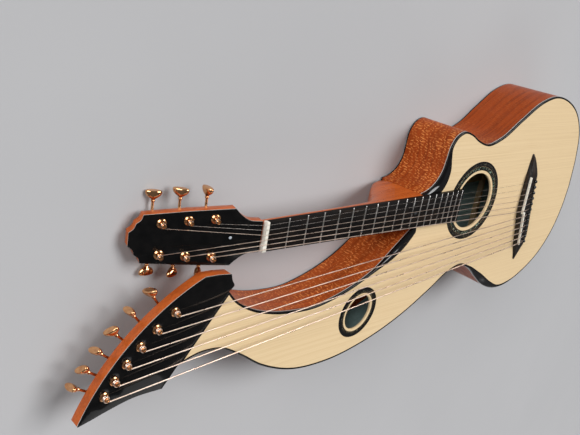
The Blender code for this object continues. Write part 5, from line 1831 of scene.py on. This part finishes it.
@dataclass
class StringSet:
    """Six strings over the neck and six over the arm, each from its pin to the winding on its post."""

    bridge: Bridge
    board: Fretboard
    neck_frames: list
    harp_frames: list
    radii: tuple[float, ...] = (0.00018, 0.00023, 0.00032, 0.00042, 0.00055, 0.00068,
                                0.00074, 0.00078, 0.00082, 0.00086, 0.00090, 0.00095)
    plain: int = 2
    saddle_top: float = 0.0124
    neck_saddle: Pair = (0.0017, 0.0004)
    bass_saddle: Pair = (0.0112, 0.0025)
    rest_front: float = 0.0014
    rest_rear: float = 0.0020
    pin_radius: float = 0.0024
    pin_drop: float = 0.0015
    sides: int = 10
    turns: float = 1.5
    coil_points: int = 24
    coil_space: float = 0.0006
    coil_level: float = 0.0254
    waist: float = 0.0025

    def build(self) -> None:
        """Build the strings."""
        nut_level = self.board.top(-self.board.scale) + self.board.nut_height
        for i, (x_pin, y) in enumerate(self.bridge.pins()):
            radius = self.radii[i]
            lift = GAP + radius
            fretted, number = i < STRINGS, i % STRINGS
            first, step = self.neck_saddle if fretted else self.bass_saddle
            saddle = Vector((first + step * number, y, self.saddle_top + lift))
            guides, tuner = [], self.harp_frames[number]
            if fretted:
                stepped = self.board.nut_step if i >= self.board.stepped_from else 0.0
                rear = -self.board.scale - self.board.nut_length - stepped
                y_nut = self.board.nut_first - self.board.nut_spacing * i
                guides = [Vector((x, y_nut, nut_level + lift)) for x in (-self.board.scale, rear)]
                tuner = self.neck_frames[i]
            start = Vector((x_pin - self.pin_radius - lift, y, self.bridge.height + lift))
            path = [start - Vector((0.0, 0.0, self.pin_drop)), start, saddle + Vector((self.rest_rear, 0, 0)),
                    saddle - Vector((self.rest_front, 0, 0))] + guides
            path += self.winding(tuner, path[-1], radius)
            shape = Shape()
            shape.tube(path, radius, self.sides)
            row = "neck" if fretted else "bass"
            finish = PLAIN_STRING if i < self.plain else WOUND_STRING
            publish(shape, f"{row}_wire_{number + 1}", [finish], [f"{row}_string_{number + 1}"], mapped=True)

    def winding(self, tuner: Matrix, source: Vector, radius: float) -> list[Vector]:
        """Return a string's points from its tangent on a post to the end of its winding.

        Args:
            tuner: the tuner's frame.
            source: the point that the string comes from.
            radius: the string's radius.

        Returns:
            The points.
        """
        reach = self.waist + GAP + radius
        local = tuner.inverted() @ source
        base = math.atan2(local.y, local.x)
        spread = math.acos(reach / math.hypot(local.x, local.y))
        start = max((base - spread, base + spread), key=lambda a: math.cos(a - math.pi))
        sense = 1 if math.cos(start) * local.y - math.sin(start) * local.x < 0 else -1
        points = []
        for k in range(round(self.turns * self.coil_points) + 1):
            a = start + sense * 2 * math.pi * k / self.coil_points
            level = self.coil_level - (2 * radius + self.coil_space) * k / self.coil_points
            points.append(tuner @ Vector((reach * math.cos(a), reach * math.sin(a), level)))
        return points


# Tuning machines

class Row(Enum):
    """The two rows of tuning machines."""

    NECK = "neck"
    HARP = "harp"


@dataclass
class Tuner:
    """Sizes and shapes of one tuning machine: a worm on the knob's shaft turns a wheel on the post.

    Button stations are a distance from the button's middle, half its width and half its thickness. Ferrule,
    post foot and screw are radii and distances from the button, the wheel and the plate. The washer's rim has
    insets and rises from its foot, and its brow an inset and a drop from its top.
    """

    teeth: int = 12
    wheel_radius: float = 0.0056
    worm_radius: float = 0.0024
    addendum: float = 0.0007
    dedendum: float = 0.0009
    wheel_tip: float = 0.0006
    wheel_foot: float = 0.0014
    wheel_thick: float = 0.0030
    thread_turns: float = 2.5
    plate_thick: float = 0.0012
    post_radius: float = 0.0030
    waist: float = 0.0025
    waist_low: float = 0.0203
    waist_high: float = 0.0268
    post_top: float = 0.0280
    bore: float = 0.00335
    sleeve: float = 0.0046
    washer: float = 0.0065
    washer_thick: float = 0.0015
    wheel_level: float = -0.0052
    lug_thick: float = 0.0016
    lug_bore: float = 0.0020
    lug_half: float = 0.0031
    plate_edge: float = 0.0016
    collar: float = 0.0026
    collar_waist: float = 0.0018
    collar_long: float = 0.0008
    collar_slope: float = 0.0018
    shaft_ease: float = 0.0003
    shaft_end: float = 0.8
    thread_root: float = 0.0008
    thread_crest: float = 0.0003
    thread_sink: float = 0.7
    thread_steps: int = 20
    post_foot: Keys = ((0.0, -0.0021), (0.0014, -0.0021), (0.0019, -0.0017), (0.0019, 0.0))
    post_ease: float = 0.0004
    post_sides: int = 28
    post_dimple: Pair = (0.0012, 0.0010)
    washer_rim: Keys = ((0.0, 0.0), (0.0, 0.0004), (0.0005, 0.0009))
    washer_brow: Pair = (0.0014, 0.0003)
    washer_ease: float = 0.0002
    washer_sides: int = 36
    lug_sink: float = 0.0004
    lug_points: int = 13
    screw_head: Keys = ((0.0, 0.0003), (0.0017, 0.0003), (0.0017, -0.0002), (0.0014, -0.0006),
                        (0.0007, -0.0009), (0.0005, -0.0006), (0.0, -0.0006))
    screw_at: Pair = (0.0056, 0.0062)
    plate_ease: float = 0.0003
    button_sides: int = 32
    ferrule: Keys = ((0.0018, -0.0034), (0.0023, -0.0030), (0.0028, -0.0020), (0.0028, -0.0012),
                     (0.0022, -0.0003), (0.0022, 0.0010), (0.0, 0.0010))
    reach: float = 0.0305
    button: Keys = ((-0.0060, 0.0023, 0.0023), (-0.0046, 0.0037, 0.0029), (-0.0024, 0.0069, 0.0041),
                    (0.0002, 0.0095, 0.0047), (0.0022, 0.0106, 0.0049), (0.0040, 0.0108, 0.0050),
                    (0.0053, 0.0105, 0.0048), (0.0062, 0.0097, 0.0043), (0.0066, 0.0084, 0.0036),
                    (0.0067, 0.0050, 0.0022), (0.0066, 0.0008, 0.0004))

    @property
    def centre_distance(self) -> float:
        """Return the distance from the worm's axis to the wheel's."""
        return self.wheel_radius + self.worm_radius

    @property
    def pitch(self) -> float:
        """Return the worm's lead in one turn."""
        return 2 * math.pi * self.wheel_radius / self.teeth

    @property
    def lug_at(self) -> float:
        """Return the distance of a lug's middle from the worm's middle."""
        return self.pitch * self.thread_turns / 2 + self.wheel_foot / 2 + 2 * GAP + self.lug_thick / 2

    def knob(self) -> Shape:
        """Return a knob with a collar and a flared oval button.

        Returns:
            The shape, with its shaft along X and its worm at the origin.
        """
        shaft = self.worm_radius - self.dedendum
        inner = -(self.lug_at + self.lug_thick / 2 + 2 * GAP)
        outer = self.lug_at + self.lug_thick / 2 + GAP
        near = self.reach + self.button[0][0]
        profile = [(0, inner), (shaft * self.shaft_end, inner), (shaft, inner + self.shaft_ease),
                   (shaft, outer), (self.collar, outer), (self.collar, outer + self.collar_long),
                   (self.collar_waist, outer + self.collar_slope)]
        profile += [(radius, near + away) for radius, away in self.ferrule]
        stem = Shape()
        stem.lathe(profile, HOLE_SIDES)
        crest, root = self.worm_radius + self.addendum, shaft * self.thread_sink
        start = -self.pitch * self.thread_turns / 2
        worm = Shape()
        worm.thread([(root, start - self.thread_root), (crest, start - self.thread_crest),
                     (crest, start + self.thread_crest), (root, start + self.thread_root)],
                    self.thread_turns, self.pitch, self.thread_steps)
        button = Shape()
        button.loft([[(thick * math.cos(a), wide * math.sin(a), self.reach + along)
                      for a in around(self.button_sides)]
                     for along, wide, thick in smooth_run(self.button, 3)])
        shape = Shape()
        shape.add(stem, AXLE)
        shape.add(worm, AXLE @ Matrix.Rotation(-math.pi * self.thread_turns, 4, "Z"))
        shape.add(button, AXLE)
        return shape

    def post(self) -> Shape:
        """Return a post with its toothed wheel.

        Returns:
            The shape, along Z, with the origin at the back of the head.
        """
        foot, tip = self.wheel_radius - self.dedendum, self.wheel_radius + self.addendum
        twist = self.pitch / (2 * math.pi * self.worm_radius * self.wheel_radius)
        sections = []
        for level in (-self.wheel_thick / 2, 0.0, self.wheel_thick / 2):
            ring = []
            for tooth in range(self.teeth):
                middle = 2 * math.pi * tooth / self.teeth + twist * level
                for radius, width in ((foot, -self.wheel_foot), (tip, -self.wheel_tip), (tip, self.wheel_tip),
                                      (foot, self.wheel_foot)):
                    a = middle + width / 2 / radius
                    ring.append((radius * math.cos(a), radius * math.sin(a), self.wheel_level + level))
            sections.append(ring)
        wheel = Shape()
        wheel.loft(sections)
        shape = Shape()
        shape.add(wheel)
        stem = Shape()
        r, top, ease = self.post_radius, self.post_top, self.post_ease
        profile = [(radius, self.wheel_level + level) for radius, level in self.post_foot]
        profile += [(r, self.wheel_level), (r, self.waist_low - ease), (self.waist, self.waist_low),
                    (self.waist, self.waist_high), (r, self.waist_high + ease), (r, top - ease),
                    (r - ease, top), (self.post_dimple[0], top), (self.post_dimple[1], top - ease),
                    (0, top - ease)]
        stem.lathe(profile, self.post_sides)
        shape.add(stem)
        return shape

    def bushing(self, thick: float) -> Shape:
        """Return a bushing with its domed washer.

        Args:
            thick: thickness of the head that it goes through.

        Returns:
            The shape.
        """
        rim, top = thick + FINE_GAP, thick + GAP + self.washer_thick
        foot, ease = -GAP - self.plate_thick, self.washer_ease
        inset, fall = self.washer_brow
        profile = [(self.bore, foot), (self.sleeve, foot), (self.sleeve, rim)]
        profile += [(self.washer - inside, rim + rise) for inside, rise in self.washer_rim]
        profile += [(self.washer - inset, top - fall), (self.sleeve + ease, top), (self.bore + ease, top),
                    (self.bore, top - ease)]
        shape = Shape()
        shape.lathe(profile, self.washer_sides, closed=True)
        return shape

    def lug(self, side: int) -> Shape:
        """Return a lug that bears the knob's shaft, with a round end.

        Args:
            side: the worm's side of the post, 1 or -1.

        Returns:
            The shape, across X at the origin.
        """
        middle, low = side * self.centre_distance, -(GAP + self.plate_thick) + self.lug_sink
        half = self.lug_half
        outline = [(middle - half, low), (middle + half, low)]
        outline += [(middle + half * math.cos(a), self.wheel_level - half * math.sin(a))
                    for a in np.linspace(0, math.pi, self.lug_points)]
        flat = Shape()
        flat.plate(outline, -self.lug_thick / 2, self.lug_thick / 2,
                   [circle((middle, self.wheel_level), self.lug_bore, HOLE_SIDES_SMALL)])
        shape = Shape()
        shape.add(flat, AXLE)
        return shape

    def screw(self) -> Shape:
        """Return the domed head of a small screw.

        Returns:
            The shape, facing down from the plate.
        """
        low = -(GAP + self.plate_thick)
        shape = Shape()
        shape.lathe([(radius, low + level) for radius, level in self.screw_head], HOLE_SIDES_SMALL)
        return shape


@dataclass
class TunerRows:
    """The tuning machines of the neck's head and of the harp head."""

    tuner: Tuner
    head: Headstock
    harp: HarpHead
    plate_points: int = 33
    turns: dict = field(default_factory=lambda: {Row.NECK: (0.30, 1.10, 1.45, 1.30, 0.90, 0.35),
                                                 Row.HARP: (0.55, 0.15, 0.95, 0.40, 0.75, 0.20)})
    sides: dict = field(default_factory=lambda: {Row.NECK: (1, 1, 1, -1, -1, -1), Row.HARP: (1,) * STRINGS})

    def frames(self, row: Row) -> list[Matrix]:
        """Return the frames of a row's tuners: X to the knob, Z to the face, origin at the back of the head.

        Args:
            row: the row.

        Returns:
            A frame for each tuner, from the highest string to the lowest.
        """
        if row is Row.HARP:
            places = [self.harp.edge(along, self.harp.post_inset) for along in self.harp.posts]
            return [Matrix.Translation((*place, -self.harp.thick)) @ Matrix.Rotation(angle, 4, "Z")
                    for place, angle in places]
        plane = self.head.plane()
        treble, bass = [[plane @ Matrix.Translation((s, way * y, -self.head.thick))
                         @ Matrix.Rotation(way * math.pi / 2, 4, "Z") for s, y in self.head.posts]
                        for way in (-1, 1)]
        return treble + bass[::-1]

    def build(self) -> None:
        """Build the plates, knobs and posts."""
        self.neck_plates()
        self.harp_plate()
        for row in Row:
            parts = zip(self.frames(row), self.sides[row], self.turns[row])
            for i, (place, side, turn) in enumerate(parts, 1):
                phase = turn + (math.pi if side < 0 else 0.0)
                middle = (0, side * self.tuner.centre_distance, self.tuner.wheel_level)
                worm = place @ Matrix.Translation(middle) @ Matrix.Rotation(phase, 4, "X")
                knob, post = f"{row.value}_knob_{i}", f"{row.value}_post_{i}"
                publish(self.tuner.knob(), f"{knob}_gold", [GOLD], [knob], knob, LAID @ worm, 45.0)
                publish(self.tuner.post(), f"{post}_gold", [GOLD], [post], post,
                        LAID @ place @ Matrix.Rotation(side * turn / self.tuner.teeth, 4, "Z"), 40.0)

    def fittings(self, shape: Shape, places: Sequence[Matrix], sides: Sequence[int], thick: float) -> None:
        """Add a bushing, two lugs and two screws for each tuner of a plate.

        Args:
            shape: the plate's shape.
            places: the tuners' frames.
            sides: the worm's side of each post.
            thick: thickness of the head.
        """
        ahead, aside = self.tuner.screw_at
        for place, side in zip(places, sides):
            shape.add(self.tuner.bushing(thick), place)
            for way in (-1, 1):
                shape.add(self.tuner.lug(side), place @ Matrix.Translation((way * self.tuner.lug_at, 0, 0)))
                shape.add(self.tuner.screw(), place @ Matrix.Translation((way * ahead, -side * aside, 0)))

    def plate_half(self) -> float:
        """Return half the width of a plate."""
        return self.tuner.lug_at + self.tuner.lug_thick / 2 + self.tuner.plate_edge

    def plate_end(self) -> float:
        """Return how far a plate runs past its last post."""
        return self.tuner.centre_distance + self.tuner.lug_half + self.tuner.plate_edge

    def neck_plates(self) -> None:
        """Build the two plates under the neck's head."""
        plane = self.head.plane() @ Matrix.Translation((0, 0, -self.head.thick))
        first, last = Vector(self.head.posts[0]), Vector(self.head.posts[-1])
        ahead = (last - first).normalized()
        across = Vector((-ahead.y, ahead.x)) * self.plate_half()
        reach = ahead * self.plate_end()
        strip = [first - reach - across, last + reach - across, last + reach + across, first - reach + across]
        frames = self.frames(Row.NECK)
        for name, way, rows in (("treble", -1, slice(0, 3)), ("bass", 1, slice(3, 6))):
            self.plate(f"{name}_tuner_plate", [(p.x, way * p.y) for p in strip], plane, frames[rows],
                       self.sides[Row.NECK][rows], self.head.thick)

    def harp_plate(self) -> None:
        """Build the curved plate under the harp head."""
        harp = self.harp
        ends = harp.posts[0] - self.plate_end(), harp.posts[-1] + self.plate_end()
        angles = np.linspace(*ends, self.plate_points) / (harp.radius - harp.post_inset)
        outline = []
        for inset, run in ((harp.post_inset + self.plate_half(), angles),
                           (harp.post_inset - self.plate_half(), angles[::-1])):
            outline += [harp.edge(angle * (harp.radius - inset), inset)[0] for angle in run]
        self.plate("harp_tuner_plate", outline, Matrix.Translation((0, 0, -harp.thick)),
                   self.frames(Row.HARP), self.sides[Row.HARP], harp.thick)

    def plate(self, node: str, outline: list, plane: Matrix, places: Sequence[Matrix], sides: Sequence[int],
              thick: float) -> None:
        """Build a plate with its fittings.

        Args:
            node: the CAD node that it stands for.
            outline: the plate's outline.
            plane: the frame of the back of the head.
            places: the tuners' frames.
            sides: the worm's side of each post.
            thick: thickness of the head.
        """
        sheet = Shape()
        holes = []
        for place in places:
            local = plane.inverted() @ place
            holes.append(circle(local.translation[:2], self.tuner.bore, HOLE_SIDES))
        sheet.plate(outline, -(FINE_GAP + self.tuner.plate_thick), -FINE_GAP, holes)
        shape = Shape()
        shape.add(sheet.ease(self.tuner.plate_ease, angle=STEEP), plane)
        self.fittings(shape, places, sides, thick)
        publish(shape, f"{node}_gold", [GOLD], [node], crease=40.0)


# Stage

@dataclass
class Stage:
    """The floor, the lamps and the camera.

    Each lamp has the way to it in the soundboard's frame, its strength and the angle that it spans, in
    degrees. The eye and the two ways of the view are in the soundboard's frame too.
    """

    floor_size: float = 14.0
    floor_level: float = -0.0006
    lamps: tuple = (("key_lamp", (0.45, 0.38, 0.80), 2.60, 36.0),
                    ("neck_lamp", (-0.75, 0.55, 0.36), 2.10, 40.0),
                    ("bass_lamp", (0.15, -0.88, 0.43), 0.50, 50.0))
    lamp_distance: float = 3.0
    world: Colour = (0.50, 0.50, 0.51)
    world_strength: float = 0.24
    eye: Triple = (-1.26156, 0.35347, 0.66791)
    ahead: Triple = (0.65813, -0.33390, -0.67482)
    down: Triple = (-0.11096, -0.92951, 0.35171)
    lens: float = 44.58
    sensor: float = 36.0
    clip: Pair = (0.05, 60.0)

    def build(self) -> None:
        """Build the stage."""
        self.floor()
        for row in self.lamps:
            self.lamp(*row)
        self.sky()
        self.camera()
        bpy.context.scene.view_settings.view_transform = "Standard"

    def floor(self) -> None:
        """Build the plain pale floor."""
        bm = bmesh.new()
        bmesh.ops.create_grid(bm, x_segments=2, y_segments=2, size=self.floor_size / 2)
        bmesh.ops.translate(bm, verts=bm.verts, vec=(0.0, 0.0, self.floor_level))
        mesh = bpy.data.meshes.new("studio_floor")
        bm.to_mesh(mesh)
        bm.free()
        mesh.materials.append(FLOOR_PAINT.material())
        piece = bpy.data.objects.new("studio_floor", mesh)
        bpy.context.scene.collection.objects.link(piece)

    def lamp(self, name: str, way: Sequence[float], strength: float, span: float) -> None:
        """Hang a soft, far lamp that lights the whole stage evenly.

        Args:
            name: its name.
            way: the way to it.
            strength: its strength.
            span: the angle that it spans, in degrees.
        """
        light = bpy.data.lights.new(name, "SUN")
        light.energy, light.angle = strength, math.radians(span)
        holder = bpy.data.objects.new(name, light)
        toward = (LAID.to_3x3() @ Vector(way)).normalized()
        turn = toward.to_track_quat("Z", "Y").to_matrix().to_4x4()
        holder.matrix_world = Matrix.Translation(toward * self.lamp_distance) @ turn
        bpy.context.scene.collection.objects.link(holder)

    def sky(self) -> None:
        """Light the world evenly."""
        world = bpy.data.worlds.new("studio")
        world.use_nodes = True
        back = world.node_tree.nodes["Background"].inputs
        back["Color"].default_value = (*self.world, 1.0)
        back["Strength"].default_value = self.world_strength
        bpy.context.scene.world = world

    def camera(self) -> None:
        """Set the camera where the photograph was taken from."""
        ahead, up = Vector(self.ahead).normalized(), -Vector(self.down).normalized()
        right = ahead.cross(up).normalized()
        up = right.cross(ahead)
        turn = Matrix((right, up, -ahead)).transposed().to_4x4()
        data = bpy.data.cameras.new("camera")
        data.sensor_width, data.lens = self.sensor, self.lens
        data.clip_start, data.clip_end = self.clip
        holder = bpy.data.objects.new("camera", data)
        holder.matrix_world = LAID @ Matrix.Translation(self.eye) @ turn
        bpy.context.scene.collection.objects.link(holder)
        bpy.context.scene.camera = holder


def rosettes() -> tuple[Rosette, Rosette]:
    """Return the rosettes.

    Returns:
        The rosette of the soundboard's hole and that of the arm's hole.
    """
    return (Rosette("main_rosette", (-0.1645, 0.0019), (0.0520, 0.0520), turn=0.0, inner=0.0053, outer=0.0217,
                    sides=128, bands=((0.0071, 0.0118, 84, SHELL_BRIGHT), (0.0134, 0.0184, 84, SHELL_DIM)),
                    lines=((0.0125, 0.0127),)),
            Rosette("arm_rosette", (-0.4213, -0.1667), (0.0310, 0.0272), turn=math.radians(59.5),
                    inner=0.0040, outer=0.0145, sides=96, bands=((0.0062, 0.0090, 48, SHELL_DIM),),
                    lines=((0.0056, 0.00575),)))


def main() -> None:
    """Build the stage and every sub-assembly."""
    logging.basicConfig(level=logging.INFO, format="%(message)s")
    outline, board, head, bridge = BodyOutline(), Fretboard(), Headstock(), Bridge()
    harp = HarpHead(outline_of=outline)
    machines = TunerRows(Tuner(), head, harp)
    Stage().build()
    Body(outline, rosettes()).build()
    Neck(board).build()
    board.build()
    head.build()
    harp.build()
    bridge.build()
    StringSet(bridge, board, machines.frames(Row.NECK), machines.frames(Row.HARP)).build()
    machines.build()


if __name__ == "__main__":
    main()
